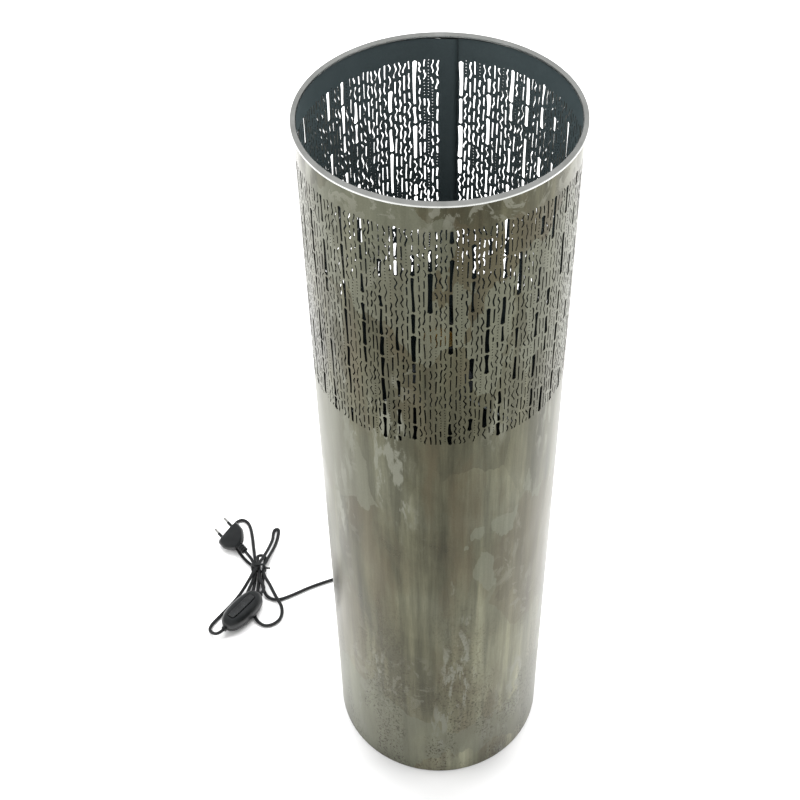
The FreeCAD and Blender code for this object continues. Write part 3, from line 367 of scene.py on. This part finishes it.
# ------------------------------------------------------------------ the lead
FLOOR, LOW, MID, TOP = 2.0, 3.8, 8.2, 12.7
LAMP_ROUTE = (
    (-49, 156, 6), (-74, 168, FLOOR), (-104, 162, FLOOR), (-133, 151, FLOOR),
    (-160, 139.5, FLOOR), (-183, 126, FLOOR), (-199.5, 118.5, FLOOR),
    (-211, 121.5, FLOOR), (-217.5, 130, FLOOR), (-220.9, 141, FLOOR),
    (-221.2, 153, 2.4), (-221.2, 165, LOW), (-220.8, 175, LOW), (-220.5, 185.2, 4.8),
    (-230.3, 185.2, 6.8), (-229.8, 174.5, MID), (-226, 165, MID), (-226.2, 150, MID),
    (-220.5, 139.5, 9.2),
)
PLUG_ROUTE = (
    (-274.5, 65.4, 5.6), (-281.5, 76.5, 2.4), (-267, 97, FLOOR), (-249.5, 121, 3.4),
    (-238.5, 141, 9), (-231, 158, TOP), (-225, 171, TOP), (-218.5, 190, 9),
    (-213.5, 211, 5.4), (-214.3, 221.5, 3), (-213.2, 231.2, FLOOR),
    (-207.2, 231.0, FLOOR), (-207.6, 219.5, FLOOR), (-209, 207, 3), (-212.5, 193, 5.5),
    (-217.3, 177.5, 8.8), (-221.4, 165.5, MID), (-220.5, 154, 7.6),
    (-211.5, 140, 7.2), (-201.5, 119.5, 6.8), (-192, 106, 3.6), (-194, 88, FLOOR),
    (-210.5, 78.5, FLOOR), (-223.5, 87, FLOOR), (-228, 101, FLOOR),
    (-226.2, 125, FLOOR), (-225.9, 150, 2.4), (-226.4, 164, LOW), (-233.2, 178, 2.6),
    (-237, 197, FLOOR), (-241, 220, FLOOR), (-247, 241, FLOOR), (-258, 248, FLOOR),
    (-267.5, 239, FLOOR), (-267, 219, FLOOR), (-259.5, 199, FLOOR), (-247.5, 181, 2.6),
    (-232.4, 167, LOW), (-230.7, 150, 2.4), (-232, 128, FLOOR), (-232.4, 106, FLOOR),
    (-241.8, 106, FLOOR), (-241.8, 118, FLOOR), (-236, 136, 5), (-231, 152, 7.6),
    (-231.2, 164.5, MID), (-235, 172, 10.8),
)
EXIT = polar(115.5, 104, 12)
SWITCH = (-241.0, 96.5)
SWITCH_ANGLE = math.radians(53)
AXIS_Z = 9.6
SAME_PLACE = 0.1 * MM
FLEX_WIDTH, FLEX_HEIGHT = 4.2, 2.9
PLUG_ENTRY = (-246.5, 186.6, 12.9)
PLUG_ANGLE = math.radians(130)


def switch_end(way, beyond=0.0):
    reach = way * (34 + beyond)
    return (SWITCH[0] + reach * math.cos(SWITCH_ANGLE),
            SWITCH[1] + reach * math.sin(SWITCH_ANGLE), AXIS_Z)


plug_before = (PLUG_ENTRY[0] - 9 * math.cos(PLUG_ANGLE),
               PLUG_ENTRY[1] - 9 * math.sin(PLUG_ANGLE), PLUG_ENTRY[2])
lamp_points = [EXIT, polar(139.5, 104, 12), *LAMP_ROUTE, switch_end(1, 7), switch_end(1)]
plug_points = [switch_end(-1), switch_end(-1, 7), *PLUG_ROUTE, plug_before, PLUG_ENTRY]


def route_line(name, points):
    """Points along the smooth curve through a route, read from a NURBS spline."""
    curve = bpy.data.curves.new(name, "CURVE")
    curve.dimensions = "3D"
    curve.resolution_u = 8
    spline = curve.splines.new("NURBS")
    spline.points.add(len(points) - 1)
    for knot, (x, y, z) in zip(spline.points, points):
        knot.co = (x * MM, y * MM, z * MM, 1)
    spline.order_u = 3
    spline.use_endpoint_u = True
    holder = bpy.data.objects.new(name, curve)
    mesh = bpy.data.meshes.new_from_object(holder)
    line = []
    for vertex in mesh.vertices:
        if not line or (vertex.co - line[-1]).length > SAME_PLACE:
            line.append(vertex.co.copy())
    bpy.data.objects.remove(holder)
    bpy.data.meshes.remove(mesh)
    return line


def twin_section(width, height, count=20):
    """Section of flat twin flex: two round cores joined by a web."""
    lobe = height / 2
    centre = width / 2 - lobe
    web = 0.80 * lobe
    outline = [(0, web), (0, -web)]
    for step in range(count):
        a = 2 * math.pi * (step + 0.5) / count
        x = centre * (1 if math.cos(a) > 0 else -1) + lobe * math.cos(a)
        y = lobe * math.sin(a)
        if abs(x) < centre:
            y *= 0.86 + 0.14 * abs(x) / centre
        outline.append((x, y))
    return sorted(outline, key=lambda p: math.atan2(p[1], p[0]))


def sweep(line, section):
    """Rings of the section along a line of points in metres, kept level, as mesh data."""
    places, faces, rings = [], [], []
    for index, here in enumerate(line):
        before = line[max(0, index - 1)]
        after = line[min(len(line) - 1, index + 1)]
        along = (after - before).normalized()
        across = along.cross(Vector((0, 0, 1))).normalized()
        over = across.cross(along).normalized()
        ring = []
        for x, y in section:
            ring.append(len(places))
            spot = here / MM + across * x + over * y
            places.append((spot.x, spot.y, spot.z))
        rings.append(ring)
    for first, second in zip(rings[:-1], rings[1:]):
        for i in range(len(section)):
            j = (i + 1) % len(section)
            faces.append((first[i], first[j], second[j], second[i]))
    faces.append(tuple(reversed(rings[0])))
    faces.append(tuple(rings[-1]))
    return places, faces


flex = twin_section(FLEX_WIDTH, FLEX_HEIGHT)
lamp_line = route_line("lamp_lead_route", lamp_points)
plug_line = route_line("plug_lead_route", plug_points)
lead_lamp = piece("lead_to_switch", *sweep(lamp_line, flex), ["lead"], "black_pvc",
                  ["cord_lamp_side"], smooth=70)
lead_plug = piece("lead_to_plug", *sweep(plug_line, flex), ["lead"], "black_pvc",
                  ["cord_hank"], smooth=70)


# ------------------------------------------------------------------ the sheet tube
RADIUS, THICK = 112.5, 1.0
SHEET_LOW, SHEET_TOP = 1.0, 799.2
BAND_LOW, BAND_TOP = 545.0, 779.0
LAP_START, LAP_END, JOGGLE_END = 82.0, 89.64, 96.26
LEVELS = 24
FULL_TURN = 360
FIRST_CUT, LAST_CUT = 90.0, 441.7          # azimuths of the cut band
LOW_TOP_END, LOW_TOP_START = 97.3, 441.0   # the sheet's top is lower at the lap
TOP_DROP = 2.5
PLAIN_LOW = 24.0
SIDE_MARGIN = 0.22                         # sheet left at the sides of a column
PER_DEGREE = RADIUS * math.pi / 180
OUTSIDE, INSIDE, CUT_WALL = range(3)       # material slots of the sheet
dice = random.Random(4127)


def joggle(degrees):
    if degrees <= LAP_END:
        return -THICK
    if degrees >= JOGGLE_END:
        return 0.0
    share = (degrees - LAP_END) / (JOGGLE_END - LAP_END)
    return -THICK * (1 - share * share * (3 - 2 * share))


def sheet_top(degrees):
    at_lap = degrees < LOW_TOP_END or degrees > LOW_TOP_START
    return SHEET_TOP - (TOP_DROP if at_lap else 0.0)


def smooth_outline(middle, half, top, bottom, steps):
    """Closed outline round a wavering middle line, from bottom to top, counter-clockwise."""
    right, left = [], []
    for step in range(steps + 1):
        t = step / steps
        z = bottom + (top - bottom) * t
        m, w = middle(t), half(t)
        right.append((m + w, z))
        left.append((m - w, z))
    cap = 0.7 * half(1.0)
    foot = 0.7 * half(0.0)
    return ([(middle(0.0), bottom - foot)] + right + [(middle(1.0), top + cap)]
            + list(reversed(left)))


def wavy_cut(width, low, high):
    waves = max(0.7, (high - low) / dice.uniform(7.0, 13.0))
    sway = dice.uniform(0.35, 0.95)
    slow = dice.uniform(0.1, 0.6)
    phase = dice.uniform(0, 6.28)
    half = dice.uniform(0.42, 0.70)
    centre = width / 2 + dice.uniform(-0.25, 0.25)
    steps = max(5, int((high - low) / 1.6))
    swell = dice.uniform(0.0, 0.3)

    def middle(t):
        return centre + sway * math.sin(phase + 2 * math.pi * waves * t) \
            + slow * math.sin(2 * phase + 3.3 * waves * t)

    def half_width(t):
        return half * (1 + swell * math.cos(phase + 9 * t))
    return smooth_outline(middle, half_width, high, low, steps)


def straight_cut(width, low, high):
    lean = dice.uniform(-0.7, 0.7)
    half = dice.uniform(0.42, 0.70)
    centre = width / 2 + dice.uniform(-0.3, 0.3)
    return smooth_outline(lambda t: centre + lean * (t - 0.5) + 0.12 * math.sin(5 * t + lean),
                          lambda t: half * (0.9 + 0.2 * t), high, low, 4)


def club_cut(width, low, high):
    """Long bold cut, wider at its ends, like a bone or a club."""
    wide = min(dice.uniform(1.35, 2.3), width / 2 - 0.35)
    thin = wide * dice.uniform(0.5, 0.85)
    where = dice.choice((0.0, 1.0, 0.5))
    centre = width / 2
    sway = dice.uniform(0, 0.45)
    phase = dice.uniform(0, 6.28)

    def half_width(t):
        near = abs(t - where)
        if where == 0.5:
            near = 1 - abs(2 * t - 1)
        return thin + (wide - thin) * max(0.0, 1 - near) ** 2

    def middle(t):
        return centre + sway * math.sin(phase + 4 * t)
    return smooth_outline(middle, half_width, high, low, 7)


def dot_cut(width, z, half=0.6):
    centre = width / 2 + dice.uniform(-0.3, 0.3)
    return [(centre + half * math.cos(a * math.pi / 3), z + half * math.sin(a * math.pi / 3))
            for a in range(6)]


def column_cuts(width, mood):
    """Outlines of one column from the top of the band down."""
    cuts = []
    z = BAND_TOP - 1.0 - dice.uniform(0, 2.5)
    end = BAND_LOW + 1.2
    while z - end > 4.0:
        roll = dice.random()
        if mood == "bold" and roll < 0.50:
            kind, long = "club", dice.choice((1.0, 0.6, 0.8)) * dice.uniform(18, 44)
        elif roll < (0.30 if mood == "dots" else 0.07):
            kind, long = "dots", 3.0 * dice.randint(3, 9)
        elif roll < 0.44 or (mood == "bold" and roll < 0.66):
            kind, long = "straight", dice.uniform(6, 18)
        else:
            kind, long = "wavy", dice.uniform(7, 19)
        left_over = z - end
        if long > left_over - 4:
            long = left_over
        if kind == "dots":
            count = max(1, int(long / 3.0))
            for step in range(count):
                spot = z - 0.8 - 3.0 * step
                if spot - 0.7 > end:
                    cuts.append(dot_cut(width, spot))
            z -= 3.0 * count + 0.8
            continue
        margin = 1.0
        low, high = z - long + margin, z - margin
        if high - low > 2.5:
            make = {"club": club_cut, "straight": straight_cut, "wavy": wavy_cut}[kind]
            cuts.append(make(width, low, high))
        z -= long + dice.uniform(1.0, 2.0)
    return cuts


def column_plan():
    """Edges of the columns, in degrees, with the mood of each."""
    plan = []
    place = FIRST_CUT
    since_bold = 0
    while place < LAST_CUT - 0.9:
        roll = dice.random()
        if since_bold > 1 and roll < 0.42:
            mood, width = "bold", dice.uniform(4.7, 5.6)
        elif roll > 0.88:
            mood, width = "dots", dice.uniform(3.0, 3.6)
        else:
            mood, width = "fine", dice.uniform(3.6, 4.4)
        since_bold = 0 if mood == "bold" else since_bold + 1
        following = place + width / PER_DEGREE
        if LAST_CUT - following < 1.6:
            following = LAST_CUT
        plan.append((place, following, mood))
        place = following
    return plan


def in_outline(u, z, outline):
    """Even-odd test of a point against a closed outline."""
    inside = False
    for (u1, z1), (u2, z2) in zip(outline, outline[1:] + outline[:1]):
        if (z1 > z) != (z2 > z) and u < (u2 - u1) * (z - z1) / (z2 - z1) + u1:
            inside = not inside
    return inside


def fill_column(flat, border, owner, cuts):
    """Triangles between a column's sides and its cut-outs; owner tells whose a point is."""
    _, _, made, origins, _, _ = delaunay_2d_cdt(flat, border, [], 0, 1e-5)
    back = [origin[0] for origin in origins]
    kept = []
    for face in made:
        a, b, c = (back[i] for i in face)
        if owner[a] == owner[b] == owner[c] != -1:
            u = (flat[a].x + flat[b].x + flat[c].x) / 3
            z = (flat[a].y + flat[b].y + flat[c].y) / 3
            if in_outline(u, z, cuts[owner[a]]):
                continue
        area = ((flat[b].x - flat[a].x) * (flat[c].y - flat[a].y)
                - (flat[c].x - flat[a].x) * (flat[b].y - flat[a].y))
        if abs(area) >= 1e-7:
            kept.append((a, b, c) if area > 0 else (a, c, b))
    return kept


def cut_column(left, right, start, finish, mood, params, rims):
    """Triangles of one column of the band; adds its cut-outs to params and rims."""
    width = (finish - start) * PER_DEGREE
    cuts = column_cuts(width, mood)
    flat, numbers = [], []
    for side_line, u in ((left, 0.0), (right, width)):
        for number in side_line[2:LEVELS + 3]:
            flat.append(Vector((u, params[number][1])))
            numbers.append(number)
    count = LEVELS + 1
    border = [(i, i + 1) for i in range(count - 1)]
    border += [(count + i, count + i + 1) for i in range(count - 1)]
    border += [(0, count), (count - 1, 2 * count - 1)]
    owner = [-1] * len(flat)
    for cut, outline in enumerate(cuts):
        first = len(flat)
        ring = []
        for u, z in outline:
            u = min(max(u, SIDE_MARGIN), width - SIDE_MARGIN)
            flat.append(Vector((u, z)))
            owner.append(cut)
            ring.append(len(params))
            params.append((start + u / PER_DEGREE, z))
        numbers.extend(ring)
        rims.append(ring)
        border += [(first + i, first + (i + 1) % len(ring)) for i in range(len(ring))]
    return [tuple(numbers[i] for i in face) for face in fill_column(flat, border, owner, cuts)]


def wall_faces(rims, lines, total):
    """Cut walls: round each cut-out, along the top and foot, and up both free edges."""
    faces = []
    for ring in rims:
        for a, b in zip(ring, ring[1:] + ring[:1]):
            faces.append((a, b, b + total, a + total))
    for a, b in zip(lines[:-1], lines[1:]):
        faces.append((a[-1], b[-1], b[-1] + total, a[-1] + total))
    for a, b in zip(lines[:-1], lines[1:]):
        faces.append((b[0], a[0], a[0] + total, b[0] + total))
    for line, flip in ((lines[0], False), (lines[-1], True)):
        for a, b in zip(line[:-1], line[1:]):
            face = (a + total, b + total, b, a)
            faces.append(tuple(reversed(face)) if flip else face)
    return faces


def sheet_normals(places, faces, picks):
    """Round normals on both sides of the sheet and flat ones on the cut walls."""
    normals = []
    for face, pick in zip(faces, picks):
        if pick == CUT_WALL:
            p = [Vector(places[i]) for i in face[:3]]
            n = (p[1] - p[0]).cross(p[2] - p[0])
            n = n.normalized() if n.length > 1e-9 else Vector((0, 0, 1))
            normals += [n] * len(face)
            continue
        way = 1 if pick == OUTSIDE else -1
        for i in face:
            x, y, _ = places[i]
            r = math.hypot(x, y)
            normals.append(Vector((way * x / r, way * y / r, 0)))
    return normals


def build_sheet():
    plan = column_plan()
    edges = [LAP_START, 84.5, 87.0, LAP_END] + [start for start, _, _ in plan[1:]]
    edges += [plan[-1][1], 444.4, 447.0, LAP_END + FULL_TURN]
    moods = [None] * 3 + [mood for _, _, mood in plan] + [None] * 3
    levels = [BAND_LOW + (BAND_TOP - BAND_LOW) * i / LEVELS for i in range(LEVELS + 1)]
    params = []          # (degrees, z) of every point
    lines = []           # point numbers up each column edge
    for edge in edges:
        heights = [SHEET_LOW, PLAIN_LOW, *levels, sheet_top(edge)]
        lines.append(list(range(len(params), len(params) + len(heights))))
        params += [(edge, z) for z in heights]
    skin = []            # outer side, counter-clockwise from outside
    rims = []            # closed outlines of the cut-outs
    for index, mood in enumerate(moods):
        left, right = lines[index], lines[index + 1]
        for row in [0, 1] + ([LEVELS + 2] if mood else list(range(2, LEVELS + 3))):
            skin.append((left[row], right[row], right[row + 1], left[row + 1]))
        if mood:
            skin += cut_column(left, right, edges[index], edges[index + 1], mood, params, rims)
    total = len(params)
    places = [polar(RADIUS + joggle(d), d, z) for d, z in params]
    places += [polar(RADIUS - THICK + joggle(d), d, z) for d, z in params]
    walls = wall_faces(rims, lines, total)
    faces = skin + [tuple(i + total for i in reversed(face)) for face in skin] + walls
    picks = [OUTSIDE] * len(skin) + [INSIDE] * len(skin) + [CUT_WALL] * len(walls)
    print("sheet:", len(places), "points", len(faces), "faces", len(rims), "cut-outs")
    return piece("perforated_sheet", places, faces, ["sheet", "inside", "edge"],
                 "patinated_steel", ["tube_shell"], picks=picks,
                 normals=sheet_normals(places, faces, picks))


build_sheet()


# ------------------------------------------------------------------ the rim bead
BEAD_RADIUS, BEAD_CENTRE, BEAD_HEIGHT = 2.5, 112.0, 799.5
BEAD_GAP = 0.08


def build_bead():
    """Round bead with a groove that takes the sheet, butted at the seam."""
    section = []
    for step in range(21):
        a = math.radians(-90 + 17 + (360 - 34) * step / 20)
        section.append((BEAD_CENTRE + BEAD_RADIUS * math.cos(a),
                        BEAD_HEIGHT + BEAD_RADIUS * math.sin(a)))
    section += [(111.35, 799.35), (112.65, 799.35)]
    gap = math.degrees(BEAD_GAP / 2 / BEAD_CENTRE)
    start, finish = LAP_START + gap, LAP_START + FULL_TURN - gap
    steps, count = 240, len(section)
    places, faces = [], []
    for step in range(steps + 1):
        degrees = start + (finish - start) * step / steps
        places += [polar(r, degrees, z) for r, z in section]
    for a in range(0, steps * count, count):
        for i in range(count):
            j = (i + 1) % count
            faces.append((a + i, a + count + i, a + count + j, a + j))
    faces.append(tuple(range(count)))
    faces.append(tuple(reversed(range(steps * count, (steps + 1) * count))))
    return piece("bright_bead", places, faces, ["bright"], "polished_steel", ["rim_bead"],
                 smooth=50)


build_bead()


# ------------------------------------------------------------------ plug and switch
NECK_LENGTH, NOTCHES = 13, 3
PLUG_ROLL = math.radians(-33)
# stations along the plug: x, half width, half thickness
NECK_RIB, NECK_NOTCH = (4.5, 3.5), (3.2, 2.75)
NECK_START = ((0.0, 3.5, 2.8), (0.35, 4.3, 3.35))
PLUG_BODY = (
    (12.9, 4.4, 3.3), (13.1, 6.4, 4.1), (14.2, 8.3, 4.7), (16.5, 10.6, 5.3),
    (19.5, 13.2, 5.8), (23.0, 15.7, 6.0), (26.5, 17.3, 6.0), (31.0, 17.65, 6.0),
    (36.8, 17.6, 6.0), (38.2, 17.2, 5.6), (38.8, 16.5, 5.0), (39.0, 15.6, 4.3))
PIN_SPREAD = 9.3
PIN_PROFILE = ((31, 1.5), (48.9, 1.5), (48.95, 2.0), (56.9, 2.0), (57.5, 1.82),
               (57.85, 1.4), (58.0, 0.7))                 # x, radius
plug_turn = turn("Z", PLUG_ANGLE) @ turn("X", PLUG_ROLL)


def along_x(stations, power):
    """Loft along X from stations (x, half width in Y, half height in Z)."""
    return loft([[(x, y, z) for y, z in rounded(a, b, power)] for x, a, b in stations])


def build_plug():
    neck = list(NECK_START)
    step = NECK_LENGTH / (2 * NOTCHES + 1)
    for notch in range(NOTCHES):
        left, right = step * (2 * notch + 1), step * (2 * notch + 2)
        neck += [(left - 0.15, *NECK_RIB), (left + 0.1, *NECK_NOTCH),
                 (right - 0.1, *NECK_NOTCH), (right + 0.15, *NECK_RIB)]
    neck.append((14.5, 4.6, 3.5))
    return merged(along_x(neck, 3.2), along_x(PLUG_BODY, 3.4))


def build_pins(sides=24):
    parts = []
    for side_y in (-PIN_SPREAD, PIN_SPREAD):
        rings = []
        for x, r in PIN_PROFILE:
            rings.append([(x, side_y + r * math.cos(2 * math.pi * k / sides),
                           r * math.sin(2 * math.pi * k / sides)) for k in range(sides)])
        parts.append(loft(rings))
    return merged(*parts)


plug = piece("moulded_plug", *moved(build_plug(), plug_turn, PLUG_ENTRY), ["black"],
             "black_plastic", ["plug_body"], smooth=32)
pins = piece("round_pins", *moved(build_pins(), plug_turn, PLUG_ENTRY), ["pins"], "pin_brass",
             ["plug_pins"], smooth=35)

switch_turn = turn("Z", SWITCH_ANGLE)
SWITCH_ORIGIN = (SWITCH[0], SWITCH[1], 4.2)
SPLIT_Z = 5.4
# rings of the switch: half length, half width, height, power of the superellipse
COVER_RINGS = (
    (30.7, 15.2, 5.5, 2.35), (31, 15.5, 5.9, 2.35), (30.9, 15.4, 9.4, 2.35),
    (30.2, 14.8, 11.6, 2.35), (28.9, 13.5, 13.6, 2.4), (27.2, 11.8, 15.0, 2.5),
    (25.0, 9.6, 16.0, 2.8), (22.6, 7.5, 16.4, 3.6), (21.0, 6.0, 16.35, 5.0),
    (20.5, 5.5, 16.0, 5.5), (20.4, 5.4, 7.0, 5.5))
BASE_RINGS = (
    (28.2, 12.9, 0.0, 2.35), (29.8, 14.4, 0.5, 2.35), (30.7, 15.2, 1.6, 2.35),
    (31, 15.5, 3.0, 2.35), (31, 15.5, 5.0, 2.35), (30.7, 15.2, 5.35, 2.35))
BUTTON_RINGS = (
    (19.9, 4.9, 9.6, 5.5), (19.9, 4.9, 16.9, 5.5), (19.6, 4.65, 17.35, 5.2),
    (19.0, 4.1, 17.55, 5.0), (17.6, 3.3, 17.45, 4.2), (12.0, 2.2, 17.15, 3.4),
    (6.0, 1.0, 17.0, 3.0))
COLLAR_STATIONS = ((27.0, 3.7), (33.2, 3.65), (33.8, 3.4), (34.0, 3.0))   # x, radius


def stacked(rings):
    return loft([[(x, y, z) for x, y in rounded(a, b, power, 72)] for a, b, z, power in rings])


def build_collars(up):
    """Half rounds that hold the lead, one at each end."""
    parts = []
    for way in (-1, 1):
        rings = []
        for x, r in COLLAR_STATIONS:
            half = [(way * x, r * math.cos(math.pi * k / 12) * way,
                     SPLIT_Z + up * (r * math.sin(math.pi * k / 12) + 0.05)) for k in range(13)]
            rings.append(half if up > 0 else list(reversed(half)))
        parts.append(loft(rings))
    return merged(*parts)


def switch_piece(name, part, look_name, slot, node, body="lamp"):
    return piece(name, *moved(part, switch_turn, SWITCH_ORIGIN), [look_name], slot, [node],
                 body=body, smooth=30)


cover = switch_piece("switch_shell_upper", merged(stacked(COVER_RINGS), build_collars(1)),
                     "black", "black_plastic", "switch_cover")
under = switch_piece("switch_shell_lower", merged(stacked(BASE_RINGS), build_collars(-1)),
                     "black", "black_plastic", "switch_base")
press = switch_piece("long_button", stacked(BUTTON_RINGS), "button", "button_plastic",
                     "switch_button", body="button")


# ------------------------------------------------------------------ carried-over nodes
for node, look_name in {
        "base_plate": "dark_steel", "foot_pads": "felt", "spider_hub": "dark_steel",
        "spider_arms": "wire", "holder_nipple": "zinc", "holder_nut": "zinc",
        "holder_cap": "black", "holder_mantle": "black", "contact_block": "ceramic",
        "screw_shell": "brass", "centre_contact": "brass", "cord_grommet": "black",
        "cord_clamp": "black", "clamp_screws": "zinc", "cord_tie": "black",
        "plug_sleeves": "black", "inner_cord": "lead"}.items():
    dress(node, look_name)


# ------------------------------------------------------------------ floor and light
FLOOR_HALF, FLOOR_DROP = 6, 0.0002
WORLD_STRENGTH = 0.62
LIGHTS = (   # name, place, target, size, power in watts
    ("rear", (0, 1.7, 2.5), (0, 0.9, 0), (3.4, 2.0), 165),
    ("left", (-2.2, 0.2, 1.9), (-0.5, 0, 0), (1.4, 1.8), 34),
    ("right", (2.2, 0.2, 1.9), (0.5, 0, 0), (1.4, 1.8), 34),
    ("key", (-1.2, -1.9, 2.6), (0, 0, 0.5), (1.2, 1.2), 16))
floor_mesh = bpy.data.meshes.new("floor")
floor_mesh.from_pydata([(x * FLOOR_HALF, y * FLOOR_HALF, -FLOOR_DROP)
                        for x, y in ((-1, -1), (1, -1), (1, 1), (-1, 1))], [], [(0, 1, 2, 3)])
floor = bpy.data.objects.new("floor", floor_mesh)
bpy.context.scene.collection.objects.link(floor)
paint = Shader("pale_floor")
paint.finish((0.90, 0.90, 0.90), 0.0, 0.8)
floor_mesh.materials.append(paint.material)

world = bpy.data.worlds.new("studio")
bpy.context.scene.world = world
world.use_nodes = True
world.node_tree.nodes["Background"].inputs["Color"].default_value = (1, 1, 1, 1)
world.node_tree.nodes["Background"].inputs["Strength"].default_value = WORLD_STRENGTH


def soft_light(name, place, target, size, power):
    """Area light that lights the floor but isn't seen in the metal."""
    data = bpy.data.lights.new(name, "AREA")
    data.shape = "RECTANGLE"
    data.size, data.size_y = size
    data.energy = power
    lamp = bpy.data.objects.new(name, data)
    bpy.context.scene.collection.objects.link(lamp)
    lamp.location = place
    lamp.rotation_mode = "QUATERNION"
    lamp.rotation_quaternion = (Vector(target) - Vector(place)).to_track_quat("-Z", "Y")
    lamp.visible_glossy = False


for light in LIGHTS:
    soft_light(*light)

bpy.context.view_layer.update()
